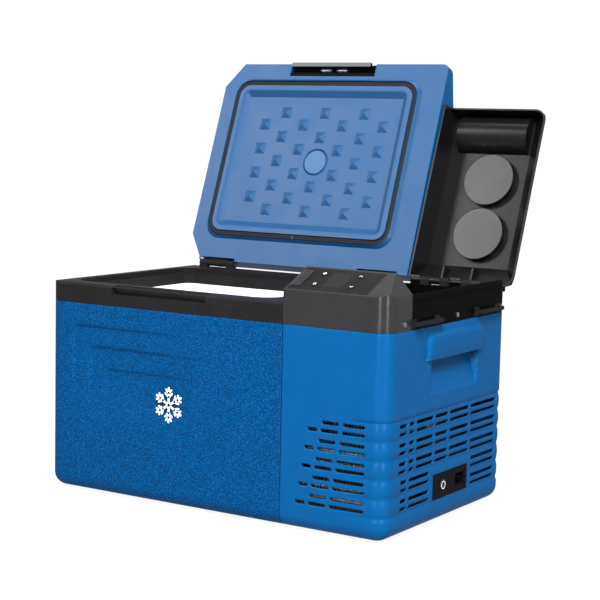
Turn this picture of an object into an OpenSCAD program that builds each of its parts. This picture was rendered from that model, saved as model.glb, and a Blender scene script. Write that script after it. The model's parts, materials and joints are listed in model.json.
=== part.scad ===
// Compressor cooler fridge with an insulated tub, a machine bay beside it and two back-hinged lids.
// X runs along the length, Y from the front to the back, Z up. Both lids stand open.

/* [Cabinet] */
// Length of the cabinet
body_l = 570; // [560:1:580]
// Depth of the cabinet
body_d = 348; // [344:1:354]
// Height of the joint between the blue housing and the black rim
housing_h = 278; // [274:1:280]
// Height of the rim around the tub
rim_h = 307; // [305:1:309]
// Height of the side walls around the storage tray
deck_h = 324.5; // [322:0.5:327]
// Distance from the middle of the length to the joint between tub and machine bay
seam_x = 123.5; // [120:0.5:126]
// Thickness of the moulded walls
wall = 3; // [2.5:0.5:3.5]
// Radius of the upright corners
corner_r = 22; // [20:1:24]
// Radius of the lower edges
edge_r = 20; // [18:1:22]

/* [Lids] */
// Height of the closed main lid's top
lid_top = 352; // [350:1:354]
// Opening angle of the main lid
lid_open = 110; // [105:1:112]
// Opening angle of the tray lid
tray_open = 111; // [106:1:113]
// Height of the closed tray lid's top
tray_top = 358; // [356:1:360]

/* [Console] */
// Depth of the sloped control console
console_d = 61; // [60:1:62]
// Height of the console's back edge
console_h = 351; // [349:1:352]

/* [Hidden] */
$fn = 64;

half_l = body_l / 2;
foot_h = 3;
gap = 0.4;
blue = [0.08, 0.36, 0.66];
deep_blue = [0.05, 0.28, 0.55];
black = [0.13, 0.13, 0.14];
steel = [0.72, 0.73, 0.75];
copper = [0.78, 0.45, 0.27];

// Hinge line shared by both lids
hinge_y = body_d - 5;
hinge_z = rim_h + 6.5;
knuckle_r = 5.5;
pin_r = 2.5;

// Tub opening, its seal ledge and the liner
tub_x0 = -half_l + 36.5;
tub_x1 = seam_x - 53;
tub_y0 = 42.5;
tub_y1 = body_d - 60.5;
tub_floor = 42;
tub_r = 14;
ledge_w = 16;
ledge_z = rim_h - 7.5;
liner_top = 284;
liner_t = 2;

// Main lid outline when closed
lid_x0 = -half_l - 3;
lid_x1 = seam_x - 1;
lid_y0 = 1;
lid_y1 = hinge_y - 3;
lid_z = rim_h + 0.5;
lid_seam = lid_z + 3;
plug_drop = 6;
panel_x0 = -242;
panel_x1 = 64;
panel_y0 = 49;
panel_y1 = 281;
panel_depth = 7;

// Latch
latch_x0 = -164;
latch_x1 = -8;
latch_y = 9;
latch_z = rim_h + 9;

// Tray lid outline when closed
tray_x0 = seam_x + 1.5;
tray_x1 = half_l + 3;
tray_y0 = console_d + 2.5;
tray_y1 = lid_y1;
tray_z = deck_h + 0.3;
tray_t = 2.5;
deck_floor = 283;

// Console slope
slope_y = console_d - 3;
slope_a = atan2(console_h - deck_h, slope_y);

// Compressor and fan
comp_x = 200;
comp_y = 246;
fan_x = 200;
fan_z = 96;
fan_y = 50;
line_y = 220;

// Middle of the depth that the cabinet and the open lids take up together
tray_reach = hinge_y + (hinge_y - tray_y0) * cos(180 - tray_open)
    + (tray_top - hinge_z) * sin(tray_open);
y_mid = tray_reach / 2;

// ---------- placing ----------

module place() {
    translate([0, -y_mid, 0]) children();
}

module swing(angle) {
    translate([0, hinge_y, hinge_z]) rotate([-angle, 0, 0]) translate([0, -hinge_y, -hinge_z]) children();
}

module on_slope() {
    translate([0, 0, deck_h]) rotate([slope_a, 0, 0]) children();
}

module both_ends() {
    children();
    mirror([1, 0, 0]) children();
}

// ---------- shared shapes ----------

module block(x0, x1, y0, y1, z0, z1) {
    translate([x0, y0, z0]) cube([x1 - x0, y1 - y0, z1 - z0]);
}

module round_rect(x0, x1, y0, y1, r) {
    translate([x0 + r, y0]) square([x1 - x0 - 2 * r, y1 - y0]);
    translate([x0, y0 + r]) square([x1 - x0, y1 - y0 - 2 * r]);
    for (x = [x0 + r, x1 - r], y = [y0 + r, y1 - r]) translate([x, y]) circle(r);
}

module round_block(x0, x1, y0, y1, z0, z1, r) {
    translate([0, 0, z0]) linear_extrude(z1 - z0) round_rect(x0, x1, y0, y1, r);
}

module rod_x(x0, x1, y, z, r) {
    translate([x0, y, z]) rotate([0, 90, 0]) cylinder(h = x1 - x0, r = r);
}

module rod_y(x, y0, y1, z, r) {
    translate([x, y0, z]) rotate([-90, 0, 0]) cylinder(h = y1 - y0, r = r);
}

// Cuts across the length, along X, with points given as [y, z]
module along_x(x0, x1) {
    translate([x0, 0, 0]) rotate([90, 0, 90]) linear_extrude(x1 - x0) children();
}

// Cuts across the depth, along Y, with points given as [x, z]
module along_y(y0, y1) {
    translate([0, y1, 0]) rotate([90, 0, 0]) linear_extrude(y1 - y0) children();
}

// Cabinet block with round upright corners and round lower edges, drawn in by inset
module cabinet_form(inset, top) {
    r = corner_r - inset;
    e = edge_r - inset;
    z0 = foot_h + inset;
    intersection() {
        round_block(-half_l + inset, half_l - inset, inset, body_d - inset, z0, top, r);
        along_x(-half_l, half_l) round_rect(inset, body_d - inset, z0, top + 2 * e, e);
        along_y(0, body_d) round_rect(-half_l + inset, half_l - inset, z0, top + 2 * e, e);
    }
}

// Tube along a list of points, with each corner rounded off by a short curve
function unit(v) = v / norm(v);
function corner(a, b, c, r) = [
    for (t = [0 : 0.25 : 1])
        let (p = b + unit(a - b) * r, q = b + unit(c - b) * r)
        p * (1 - t) * (1 - t) + b * 2 * t * (1 - t) + q * t * t
];
function rounded_path(p, r) = [
    p[0],
    for (i = [1 : len(p) - 2]) each corner(p[i - 1], p[i], p[i + 1], r),
    p[len(p) - 1]
];
function headings(p) = [
    for (i = [0 : len(p) - 1]) unit(p[min(i + 1, len(p) - 1)] - p[max(i - 1, 0)])
];
function sides(t, i, u) = i == len(t) ? [] :
    let (v = unit(u - t[i] * (u * t[i]))) concat([v], sides(t, i + 1, v));

module tube(points, r, bend, side = [0.31, 0.52, 0.79]) {
    n = 10;
    path = rounded_path(points, bend);
    t = headings(path);
    u = sides(t, 0, side);
    rings = [
        for (i = [0 : len(path) - 1], k = [0 : n - 1])
            path[i] + r * (u[i] * cos(360 * k / n) + cross(t[i], u[i]) * sin(360 * k / n))
    ];
    skin = [
        for (i = [0 : len(path) - 2], k = [0 : n - 1])
            let (a = i * n + k, b = i * n + (k + 1) % n)
            each [[a, b + n, b], [a, a + n, b + n]]
    ];
    first = [for (k = [0 : n - 1]) k];
    last = [for (k = [n - 1 : -1 : 0]) (len(path) - 1) * n + k];
    polyhedron(rings, concat([first, last], skin));
}

screw_y = [41, 189, 325];

module screw_holes() {
    for (y = screw_y) rod_x(half_l - 3.2, half_l + 1, y, 287, 1.85);
}

module screw_x(x, y, z, r, shank) {
    rod_x(x, x + 1.6, y, z, r);
    rod_x(x - shank, x, y, z, r * 0.5);
}

// ---------- cabinet housings ----------

grip_y0 = 104;
grip_y1 = 266;
pocket_y0 = 118;
pocket_y1 = 258;
pocket_top = 233;
pocket_low = 183;
pocket_in = half_l - 14;

module pocket_profile(grow) {
    polygon([
        [half_l + 12, pocket_top + grow], [pocket_in - grow, pocket_top + grow],
        [pocket_in - grow, pocket_top - 7 - grow], [half_l - wall, pocket_low - grow],
        [half_l + 12, pocket_low - grow]
    ]);
}

module grip_bulge() {
    intersection() {
        along_y(grip_y0, grip_y1) polygon([
            [half_l - 1, pocket_top + 36], [half_l, pocket_top + 36], [half_l + 4, pocket_top + 31],
            [half_l + 6.5, pocket_top + 22], [half_l + 7, pocket_top + 10],
            [half_l + 5.5, pocket_top], [half_l - 1, pocket_top]
        ]);
        translate([half_l - 10, 0, 0]) rotate([90, 0, 90]) linear_extrude(30)
            round_rect(grip_y0, grip_y1, pocket_top - 16, pocket_top + 36, 16);
    }
}

module handle_walls() {
    intersection() {
        along_y(pocket_y0 - 2.5, pocket_y1 + 2.5) pocket_profile(2.5);
        block(0, half_l - 1, 0, body_d, 0, housing_h);
    }
    grip_bulge();
}

module handle_hollow() {
    along_y(pocket_y0, pocket_y1) pocket_profile(0);
}

groove_w = 6;
groove_t = 1.2;

// One L-shaped groove in the front face, with a rounded corner
module groove(x0, x1, z0, z1) {
    r = 14;
    translate([0, groove_t, 0]) rotate([90, 0, 0]) linear_extrude(groove_t + 1) {
        translate([x0, z0]) square([groove_w, z1 - z0 - r]);
        translate([x0 + r, z1 - groove_w]) square([x1 - x0 - r, groove_w]);
        translate([x0 + r, z1 - r]) intersection() {
            difference() {
                circle(r);
                circle(r - groove_w);
            }
            translate([-r, 0]) square(r);
        }
    }
}

module tub_housing() color(deep_blue) place() {
    difference() {
        union() {
            difference() {
                cabinet_form(0, housing_h);
                cabinet_form(wall, housing_h + 1);
            }
            mirror([1, 0, 0]) handle_walls();
        }
        mirror([1, 0, 0]) handle_hollow();
        block(seam_x - 0.3, half_l + 20, -20, body_d + 20, -1, housing_h + 1);
        groove(-246, -7, 116, 249);
        groove(-217, 51, 128, 221);
        groove(-188, -3, 123, 190);
    }
}

vent_pitch = 25.1;
vent_t = 5;

// Two slots and three slots by turns, with the left ends stepping outwards as the rows go down
module front_vents() {
    for (k = [0 : 4]) {
        z = 151 - k * vent_pitch;
        s = 4.3 * k;
        for (x = [[188 - s, 214 - s], [220 - s, 254]]) block(x[0], x[1], -1, wall + 1, z, z + vent_t);
        for (x = [[166 - s, 181 - s], [186 - s, 213 - s], [219 - s, 254]])
            block(x[0], x[1], -1, wall + 1, z - 10.9, z - 10.9 + vent_t);
    }
}

module side_vents() {
    long_row = [[38, 57], [64, 78], [84, 131], [137, 173], [179, 236], [242, 319]];
    short_row = [[43, 60], [66, 122], [246, 318]];
    for (k = [0 : 4], drop = [0, 10.9]) {
        z = 150 - k * vent_pitch - drop;
        for (y = k < 3 ? long_row : short_row)
            block(half_l - wall - 1, half_l + 1, y[0], y[1], z, z + vent_t);
    }
}

module back_vents() {
    for (k = [0 : 2]) block(148, 214, body_d - wall - 1, body_d + 1, 26 + 11 * k, 31 + 11 * k);
    for (k = [0 : 3]) block(176, 204, body_d - wall - 1, body_d + 1, 62 + 14 * k, 67 + 14 * k);
}

socket_panel_y0 = 134;
socket_panel_y1 = 234;
socket_panel_z0 = 37;
socket_panel_z1 = 72;

module machine_housing() color(blue) place() {
    difference() {
        union() {
            difference() {
                cabinet_form(0, housing_h);
                cabinet_form(wall, housing_h + 1);
            }
            handle_walls();
        }
        handle_hollow();
        block(-half_l - 20, seam_x + 0.3, -20, body_d + 20, -1, housing_h + 1);
        front_vents();
        side_vents();
        back_vents();
        block(half_l - 2, half_l + 1, socket_panel_y0, socket_panel_y1, socket_panel_z0, socket_panel_z1);
        block(half_l - wall - 1, half_l, socket_panel_y0 + 4, socket_panel_y1 - 4,
            socket_panel_z0 + 4, socket_panel_z1 - 4);
        block(138, 232, 24, body_d - 24, -1, foot_h + wall + 1);
    }
}

module service_plate() color(steel) place() {
    difference() {
        block(133, 237, 21, body_d - 21, foot_h + wall + 0.1, foot_h + wall + 1.6);
        for (k = [0 : 7]) block(150, 220, 40 + 14 * k, 45 + 14 * k, 0, 12);
    }
}

module feet() color([0.1, 0.1, 0.1]) place() {
    for (x = [-250, 250], y = [45, body_d - 45]) translate([x, y, 0]) cylinder(h = foot_h, r = 10);
}

module bulkhead() color(black) place() {
    difference() {
        intersection() {
            cabinet_form(wall + gap, housing_h - gap);
            block(seam_x - 4.5, seam_x - 0.7, 0, body_d, 0, housing_h);
        }
        rod_x(seam_x - 5, seam_x, line_y, 206, 4.5);
        rod_x(seam_x - 5, seam_x, 196, 199.5, 3.5);
    }
}

// ---------- insulated tub ----------

module tub_form(grow, z0, z1) {
    round_block(tub_x0 - grow, tub_x1 + grow, tub_y0 - grow, tub_y1 + grow, z0, z1, tub_r + grow);
}

module inner_liner() color([0.95, 0.96, 0.97]) place() {
    difference() {
        tub_form(liner_t, tub_floor - liner_t, liner_top);
        tub_form(0, tub_floor, liner_top + 1);
    }
}

coil_z = [90, 125, 160, 195];
coil_r = 3;

module foam_jacket() color([0.93, 0.9, 0.78]) place() {
    difference() {
        intersection() {
            cabinet_form(wall + gap, housing_h - gap);
            block(-half_l, seam_x - 5, 9, body_d, 0, housing_h);
        }
        tub_form(liner_t + 0.1, tub_floor - liner_t - 0.1, housing_h + 1);
        tub_form(11, 70, 215);
        block(-half_l, pocket_in * -1 + 4, pocket_y0 - 4, pocket_y1 + 4, pocket_low - 8, pocket_top + 5);
        block(tub_x1, seam_x, 98, 112, 134, 146);
        block(tub_x1, seam_x, 150, 240, 70, 215);
    }
}

module evaporator_sheet() color([0.8, 0.81, 0.83]) place() {
    difference() {
        tub_form(liner_t + 1.2, 74, 211);
        tub_form(liner_t + 0.2, 73, 212);
    }
}

// One turn of the coil around the tub
module coil_turn(z) {
    g = liner_t + 1.4 + coil_r;
    r = tub_r + g;
    a = tub_x0 - g + r;
    b = tub_x1 + g - r;
    c = tub_y0 - g + r;
    d = tub_y1 + g - r;
    rod_x(a, b, c - r, z, coil_r);
    rod_x(a, b, d + r, z, coil_r);
    rod_y(a - r, c, d, z, coil_r);
    rod_y(b + r, c, d, z, coil_r);
    for (p = [[a, c, 180], [b, c, 270], [b, d, 0], [a, d, 90]])
        translate([p[0], p[1], z]) rotate(p[2]) rotate_extrude(angle = 90) translate([r, 0]) circle(coil_r);
}

module evaporator_coil() color(copper) place() {
    for (z = coil_z) coil_turn(z);
    for (i = [0 : 2])
        translate([tub_x1 + liner_t + 1.4 + coil_r, 165 + 10 * i, coil_z[i]]) cylinder(h = 35, r = 2.6);
}

// ---------- rim, deck and console ----------

rim_r = 4;
slot_x0 = -168;
slot_x1 = -4;

module tub_rim() color(black) place() {
    difference() {
        intersection() {
            cabinet_form(0, rim_h);
            block(-half_l, seam_x - 0.3, 0, body_d, housing_h + 0.2, rim_h);
            along_x(-half_l, half_l) round_rect(0, body_d, 0, rim_h, rim_r);
            along_y(0, body_d) round_rect(-half_l, half_l, 0, rim_h, 2 * rim_r);
        }
        difference() {
            intersection() {
                cabinet_form(wall, rim_h - wall);
                block(-half_l, seam_x - wall, 0, body_d, housing_h, rim_h - wall);
            }
            tub_form(ledge_w + 2.5, housing_h, rim_h);
            block(slot_x0 - 2, slot_x1 + 2, 0, 17, 292, rim_h);
        }
        difference() {
            tub_form(ledge_w, housing_h, ledge_z - wall);
            tub_form(2.5, housing_h, rim_h);
        }
        difference() {
            tub_form(ledge_w + 3, housing_h - 1, ledge_z - wall);
            tub_form(ledge_w - 1, housing_h - 2, rim_h);
        }
        tub_form(0, housing_h, rim_h + 1);
        tub_form(2.6, housing_h - 1, liner_top + 0.1);
        tub_form(ledge_w, ledge_z, rim_h + 1);
        block(-half_l, half_l, -1, body_d + 1, housing_h, housing_h + 0.2);
        mirror([1, 0, 0]) screw_holes();
        block(slot_x0, slot_x1, -1, 14.5, 294.5, rim_h - 2.5);
        block(slot_x0, slot_x1, 3.2, 14.5, 294.5, rim_h + 1);
    }
}

// Outline of the deck's side walls seen from the side, lower at the back
module deck_side() {
    polygon([
        [0, housing_h + 0.2], [body_d, housing_h + 0.2], [body_d, rim_h],
        [body_d - 4, rim_h], [body_d - 20, deck_h], [0, deck_h]
    ]);
}

module deck_frame() color(black) place() {
    difference() {
        intersection() {
            cabinet_form(0, deck_h);
            along_x(seam_x + 0.3, half_l) deck_side();
            block(0, half_l, console_d + 0.3, body_d, 0, deck_h);
        }
        block(seam_x + wall + 0.8, half_l - wall - 0.5, console_d + 4, body_d - 12, deck_floor, deck_h + 1);
        block(seam_x + wall + 0.8, half_l - wall - 0.5, body_d - 13, body_d + 1, rim_h, deck_h + 1);
        block(seam_x + wall + 0.8, half_l - wall - 0.5, console_d - 1, console_d + 5, rim_h, deck_h + 1);
        screw_holes();
        block(seam_x, seam_x + wall + 1, console_d, body_d + 1, rim_h, deck_h + 1);
        for (z = [313, 316.4]) block(half_l - 0.8, half_l + 1, 66, 322, z, z + 1.2);
        intersection() {
            cabinet_form(wall, deck_floor - wall);
            block(seam_x + wall, half_l - wall, console_d, body_d, 0, deck_floor - wall);
        }
        intersection() {
            cabinet_form(wall, rim_h - wall);
            block(seam_x + wall, half_l - wall, body_d - 9, body_d, 0, rim_h - wall);
        }
    }
    for (x = [[seam_x + wall + 1, 144.6], [193.4, 212.6], [261.4, half_l - 4]])
        block(x[0], x[1], hinge_y - 2, hinge_y + 4.6, rim_h - 1, hinge_z - 0.4);
}

module console_form(inset) {
    t = inset;
    top = console_h - t * 1.1;
    front = deck_h - t * 0.65;
    intersection() {
        along_x(seam_x + 0.3 + t, half_l - t) polygon([
            [t, housing_h + 0.2], [console_d - t, housing_h + 0.2], [console_d - t, top],
            [slope_y, top], [t, front]
        ]);
        along_y(0, console_d) polygon([
            [seam_x + 0.3 + t, housing_h], [half_l - t, housing_h], [half_l - t, deck_h - t * 0.4],
            [half_l - 24 - t * 0.4, console_h + 0.1], [seam_x + 0.3 + t, console_h + 0.1]
        ]);
        cabinet_form(t, console_h + 1);
    }
}

// Places on the console's slope: x along it, v up it
key_x = [161, 217];
key_v = [20, 48];
key_r = 6;
key_clear = 0.3;
screen = [174, 204, 15, 53];
port_x = 136;
port_v = 31;

module key_cylinders(r, w0, w1) {
    for (x = key_x, v = key_v) translate([x, v, w0]) cylinder(h = w1 - w0, r = r);
}

module console_cover() color(black) place() {
    difference() {
        console_form(0);
        difference() {
            console_form(2.6);
            block(seam_x, half_l, console_d - 2.7, console_d, 0, deck_h);
        }
        intersection() {
            cabinet_form(3, housing_h + 2);
            block(seam_x + 3, half_l - 3, 3, console_d - 2.6, housing_h - 1, housing_h + 2);
        }
        screw_holes();
        on_slope() {
            block(seam_x + 3, 250, 3, 60.5, -1.5, 6);
            block(port_x - 4.5, port_x + 4.5, port_v - 8, port_v + 8, -6, 1);
            block(screen[0] + 2, screen[1] - 2, screen[2] + 2, screen[3] - 2, -6, 1);
            key_cylinders(key_r + key_clear, -6, 1);
        }
    }
}

module control_fascia() color([0.16, 0.16, 0.17]) place() on_slope() {
    difference() {
        block(seam_x + 3.2, 249.8, 3.2, 60.3, -1.5, 0);
        block(port_x - 3, port_x + 3, port_v - 7, port_v + 7, -2, 1);
        block(screen[0] - 0.1, screen[1] + 0.1, screen[2] - 0.1, screen[3] + 0.1, -0.9, 1);
        block(screen[0] + 2, screen[1] - 2, screen[2] + 2, screen[3] - 2, -2, 1);
        key_cylinders(key_r + key_clear, -2, 1);
    }
}

module display_window() color([0.05, 0.06, 0.07]) place() on_slope() {
    block(screen[0], screen[1], screen[2], screen[3], -0.9, 0.1);
}

module key(x, v) color(black) place() on_slope() {
    translate([x, v, -3.9]) cylinder(h = 4.5, r = key_r);
    translate([x, v, -3.9]) cylinder(h = 0.9, r = key_r + 1.6);
}

module power_button() {
    key(key_x[0], key_v[0]);
}

module set_button() {
    key(key_x[0], key_v[1]);
}

module up_button() {
    key(key_x[1], key_v[1]);
}

module down_button() {
    key(key_x[1], key_v[0]);
}

module keypad_mat() color([0.35, 0.35, 0.37]) place() on_slope() {
    for (x = key_x) block(x - 9, x + 9, key_v[0] - 9, key_v[1] + 9, -10, -9);
    key_cylinders(4, -9, -4.9);
}

module display_board() color([0.07, 0.32, 0.16]) place() on_slope() {
    block(148, 244, 6, 57, -11.8, -10.2);
    block(screen[0] + 3, screen[1] - 3, screen[2] + 3, screen[3] - 3, -10.2, -5);
}

module usb_socket() color(steel) place() on_slope() {
    difference() {
        block(port_x - 2.9, port_x + 2.9, port_v - 6.9, port_v + 6.9, -16, -0.6);
        block(port_x - 2.25, port_x + 2.25, port_v - 6.2, port_v + 6.2, -14, 0);
    }
    block(port_x - 0.8, port_x + 0.2, port_v - 5.5, port_v + 5.5, -14, -3);
}

cover_v = [11, 50];

module usb_cover() color([0.2, 0.2, 0.21]) place() on_slope() {
    round_block(129, 143, cover_v[0], cover_v[1], 0.2, 2.2, 2.5);
    rod_x(129.5, 142.5, cover_v[1], 1.3, 1.1);
    for (i = [0 : 8]) block(130.5, 141.5, 14 + 4 * i, 15.6 + 4 * i, 2.1, 2.9);
}

// ---------- machine bay ----------

module ring(x, y, z, h, r, bore) {
    translate([x, y, z]) difference() {
        cylinder(h = h, r = r);
        translate([0, 0, -1]) cylinder(h = h + 2, r = bore);
    }
}

bolt_x = [144, 256];
bolt_y = [200, 292];
plate_z = foot_h + wall + 1.8;

module at_bolts() {
    for (x = bolt_x, y = bolt_y) translate([x, y, 0]) children();
}

module compressor_plate() color(steel) place() {
    difference() {
        block(131, 269, 186, 306, plate_z, plate_z + 2);
        at_bolts() cylinder(h = 20, r = 3.2);
    }
}

module rubber_bushes() color([0.08, 0.08, 0.08]) place() {
    at_bolts() ring(0, 0, plate_z + 2, 13, 8, 3.2);
}

module compressor_bolts() color(steel) place() {
    at_bolts() {
        translate([0, 0, plate_z]) cylinder(h = 19, r = 3);
        translate([0, 0, plate_z + 17]) cylinder(h = 4, r = 5.5, $fn = 6);
    }
}

module compressor() color([0.1, 0.1, 0.11]) place() {
    z = plate_z + 15;
    difference() {
        union() {
            block(135, 265, 191, 301, z, z + 2);
            translate([comp_x, comp_y, z + 2]) rotate_extrude() polygon([
                [0, -1], [42, -1], [49, 6], [51, 14], [51, 60], [53, 60], [53, 66], [51, 66],
                [51, 92], [46, 106], [34, 115], [0, 118]
            ]);
            block(comp_x + 40, comp_x + 60, comp_y - 18, comp_y + 18, z + 26, z + 62);
            for (p = [[-24, -26], [10, -34]]) translate([comp_x + p[0], comp_y + p[1], z + 100])
                cylinder(h = 26, r = 4);
        }
        at_bolts() cylinder(h = 60, r = 3.2);
    }
}

module condenser() color([0.7, 0.71, 0.72]) place() {
    for (i = [0 : 24]) block(140 + 5 * i, 140.8 + 5 * i, 14, 40, 34, 160);
    for (y = [20.5, 33.5], z = [48 : 16 : 144]) rod_x(134, 266, y, z, 3);
    for (x = [136, 263]) block(x, x + 1.5, 18, 38, plate_z, 160);
}

module fan_frame() color(black) place() {
    difference() {
        translate([0, fan_y + 25, fan_z]) rotate([90, 0, 0]) linear_extrude(25)
            translate([fan_x, 0]) round_rect(-60, 60, -60, 60, 5);
        rod_y(fan_x, fan_y - 1, fan_y + 26, fan_z, 57);
        for (x = [-52, 52], z = [-52, 52]) rod_y(fan_x + x, fan_y - 1, fan_y + 26, fan_z + z, 2.2);
    }
    for (x = [-58, 50]) block(fan_x + x, fan_x + x + 8, fan_y + 3, fan_y + 22, plate_z, fan_z - 58);
    for (a = [45, 135]) translate([fan_x, 0, fan_z]) rotate([0, a, 0])
        block(-58, 58, fan_y + 22.5, fan_y + 25, -2.5, 2.5);
    rod_y(fan_x, fan_y + 20, fan_y + 25, fan_z, 17);
    rod_y(fan_x, fan_y + 6, fan_y + 21, fan_z, 3);
}

module fan_rotor() color([0.2, 0.2, 0.21]) place() {
    difference() {
        rod_y(fan_x, fan_y + 2, fan_y + 19, fan_z, 19);
        rod_y(fan_x, fan_y + 5, fan_y + 20, fan_z, 3.06);
        difference() {
            rod_y(fan_x, fan_y + 6, fan_y + 20, fan_z, 16.5);
            rod_y(fan_x, fan_y + 1, fan_y + 21, fan_z, 6);
        }
    }
    for (k = [0 : 6]) translate([fan_x, fan_y + 10.5, fan_z]) rotate([0, k * 360 / 7, 0])
        translate([18, 0, 0]) rotate([38, 0, 0]) block(0, 35, -1, 1, -10.5, 10.5);
}

module control_board() color([0.07, 0.32, 0.16]) place() {
    block(150, 250, 110, 180, 234, 235.6);
    for (x = [162, 184, 206]) translate([x, 128, 235.6]) cylinder(h = 18, r = 7);
    block(222, 246, 116, 172, 235.6, 251);
    block(156, 200, 150, 174, 235.6, 243);
    for (x = [153, 247], y = [113, 177]) translate([x, y, 235.6]) cylinder(h = 44, r = 3);
}

module filter_drier() color(copper) place() {
    translate([150, 0, 0]) {
        rod_y(0, 96, 170, 190, 9);
        rod_y(0, 88, 178, 190, 5);
    }
}

module suction_line() color(copper) place() tube([
    [comp_x - 24, line_y, plate_z + 141], [comp_x - 24, line_y, 206],
    [104, line_y, 206], [84, line_y, 200]
], 3, 8);

module discharge_line() color(copper) place() tube([
    [comp_x + 10, comp_y - 34, plate_z + 141], [comp_x + 10, comp_y - 34, 190],
    [256, 190, 190], [256, 80, 190], [271, 33.5, 176], [271, 33.5, 144], [266.3, 33.5, 144]
], 2.4, 4);

module capillary_tube() color(copper) place() tube([
    [150, 88, 190], [150, 76, 190], [134, 76, 197], [134, 196, 199.5], [82.6, 196, 199.5]
], 1.4, 5);

module temperature_probe() color([0.85, 0.85, 0.86]) place() {
    rod_x(tub_x1 + liner_t + 2, tub_x1 + 34, 105, 140, 2.5);
    rod_x(tub_x1 + 34, seam_x - 5, 105, 140, 1.5);
}

module power_panel() color([0.09, 0.09, 0.1]) place() {
    difference() {
        block(half_l - 1.9, half_l + 0.4, socket_panel_y0 + 0.2, socket_panel_y1 - 0.2,
            socket_panel_z0 + 0.2, socket_panel_z1 - 0.2);
        rod_x(half_l - 3, half_l + 1, 161, 54.5, 8.2);
        block(half_l - 3, half_l + 1, 197, 227, 43, 66);
    }
}

module fuse_holder() color(black) place() {
    difference() {
        rod_x(half_l - 36, half_l - 1.9, 161, 54.5, 10);
        rod_x(half_l - 30, half_l - 1, 161, 54.5, 7.4);
    }
}

module fuse_cap() color([0.2, 0.2, 0.21]) place() {
    difference() {
        union() {
            rod_x(half_l - 20, half_l + 1, 161, 54.5, 7);
            rod_x(half_l - 1.5, half_l + 1.8, 161, 54.5, 7.6);
        }
        block(half_l + 0.6, half_l + 3, 154.5, 167.5, 53.6, 55.4);
    }
}

module dc_socket() color([0.07, 0.07, 0.08]) place() {
    difference() {
        block(half_l - 26, half_l - 0.2, 197.2, 226.8, 43.2, 65.8);
        block(half_l - 20, half_l + 1, 200, 224, 46, 63);
    }
}

module socket_pins() color([0.8, 0.68, 0.35]) place() {
    for (y = [206, 218]) rod_x(half_l - 20, half_l - 5, y, 54.5, 1.8);
}

// ---------- outside fittings ----------

loop_x = half_l + 7.8;
loop_z = 286;
loop_r = 2.6;

module strap_loop(y0, y1) {
    out = loop_x + loop_r;
    block(loop_x - loop_r, out, y0, y1, loop_z - loop_r, loop_z + loop_r);
    for (y = [y0, y1 - 5]) block(half_l, out, y, y + 5, loop_z - loop_r, loop_z + loop_r);
    for (y = [y0 - 4, y1 - 9]) block(half_l, half_l + 1.6, y, y + 13, loop_z - 6, loop_z + 6);
}

module strap_loops() color([0.1, 0.1, 0.11]) place() both_ends() {
    strap_loop(62, 132);
    strap_loop(246, 316);
}

module rim_screws() color(steel) place() both_ends() {
    for (y = screw_y) screw_x(half_l, y, 287, 3.5, 2.5);
}

hinge_at = [-262, 36, 146, 214];
hinge_span = [66, 66, 46, 46];

// One knuckle on the hinge line, from x0 to x1
module knuckle(x0, x1) {
    rod_x(x0, x1, hinge_y, hinge_z, knuckle_r);
}

module hinge_bores(bore) {
    for (i = [0 : 3]) rod_x(hinge_at[i] - 1, hinge_at[i] + hinge_span[i] + 1, hinge_y, hinge_z, bore);
}

module hinge_brackets() color(black) place() {
    difference() {
        for (i = [0 : 3], x = [hinge_at[i], hinge_at[i] + hinge_span[i] - 14]) {
            knuckle(x, x + 14);
            block(x, x + 14, hinge_y - knuckle_r, hinge_y + 4.6, rim_h, hinge_z);
        }
        hinge_bores(pin_r + 0.03);
    }
}

module hinge_pins() color(steel) place() {
    for (i = [0 : 3]) rod_x(hinge_at[i] - 0.8, hinge_at[i] + hinge_span[i] + 0.8, hinge_y, hinge_z, pin_r);
}

// ---------- main lid ----------

lid_cut_front = [30, 40];
lid_cut_back = [27, 42];

// Lid outline from above: cut corners at the left, small round corners at the right
module lid_outline(inset) {
    i = inset;
    k = inset * 0.42;
    r = 10 - min(inset, 6);
    difference() {
        polygon([
            [lid_x0 + i, lid_y0 + lid_cut_front[1] + k], [lid_x0 + lid_cut_front[0] + k, lid_y0 + i],
            [lid_x1 - i, lid_y0 + i], [lid_x1 - i, lid_y1 - i],
            [lid_x0 + lid_cut_back[0] + k, lid_y1 - i], [lid_x0 + i, lid_y1 - lid_cut_back[1] - k]
        ]);
        difference() {
            translate([lid_x1 - i - r, lid_y0 + i - 1]) square([r + 1, r + 1]);
            translate([lid_x1 - i - r, lid_y0 + i + r]) circle(r);
        }
    }
}

module lid_side(inset) {
    i = inset;
    polygon([
        [lid_y0 + i, lid_seam - 1], [lid_y0 + i, lid_seam + 10 - i * 0.5],
        [lid_y0 + 66, lid_top - i], [lid_y1 - 12 - i * 0.4, lid_top - i], [lid_y1 - i, lid_top - 8 - i * 0.6],
        [lid_y1 - i, lid_seam - 1]
    ]);
}

module lid_form(inset, z0) {
    intersection() {
        translate([0, 0, z0]) linear_extrude(lid_top - inset - z0) lid_outline(inset);
        along_x(lid_x0 - 1, lid_x1 + 1) lid_side(inset);
    }
}

// Room in the lid for the latch and for the hinge knuckles
module lid_notches(grow) {
    g = grow;
    block(latch_x0 - 1.5 - g, latch_x1 + 1.5 + g, lid_y0 - 2, 16 + g, lid_z - 1, rim_h + 15 + g);
    for (i = [0 : 1]) block(hinge_at[i] - 2 - g, hinge_at[i] + hinge_span[i] + 2 + g, lid_y1 - 5 - g, lid_y1 + 2,
        lid_z - 1, hinge_z + 8 + g);
}

module lid_shell() color(blue) place() swing(lid_open) {
    difference() {
        lid_form(0, lid_seam + 0.1);
        difference() {
            lid_form(wall, lid_seam);
            lid_notches(2.5);
        }
        lid_notches(0);
        for (x = [latch_x0 - 6, latch_x1 + 6]) rod_x(x - 5, x + 5, latch_y, latch_z, 1.55);
    }
}

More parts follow.
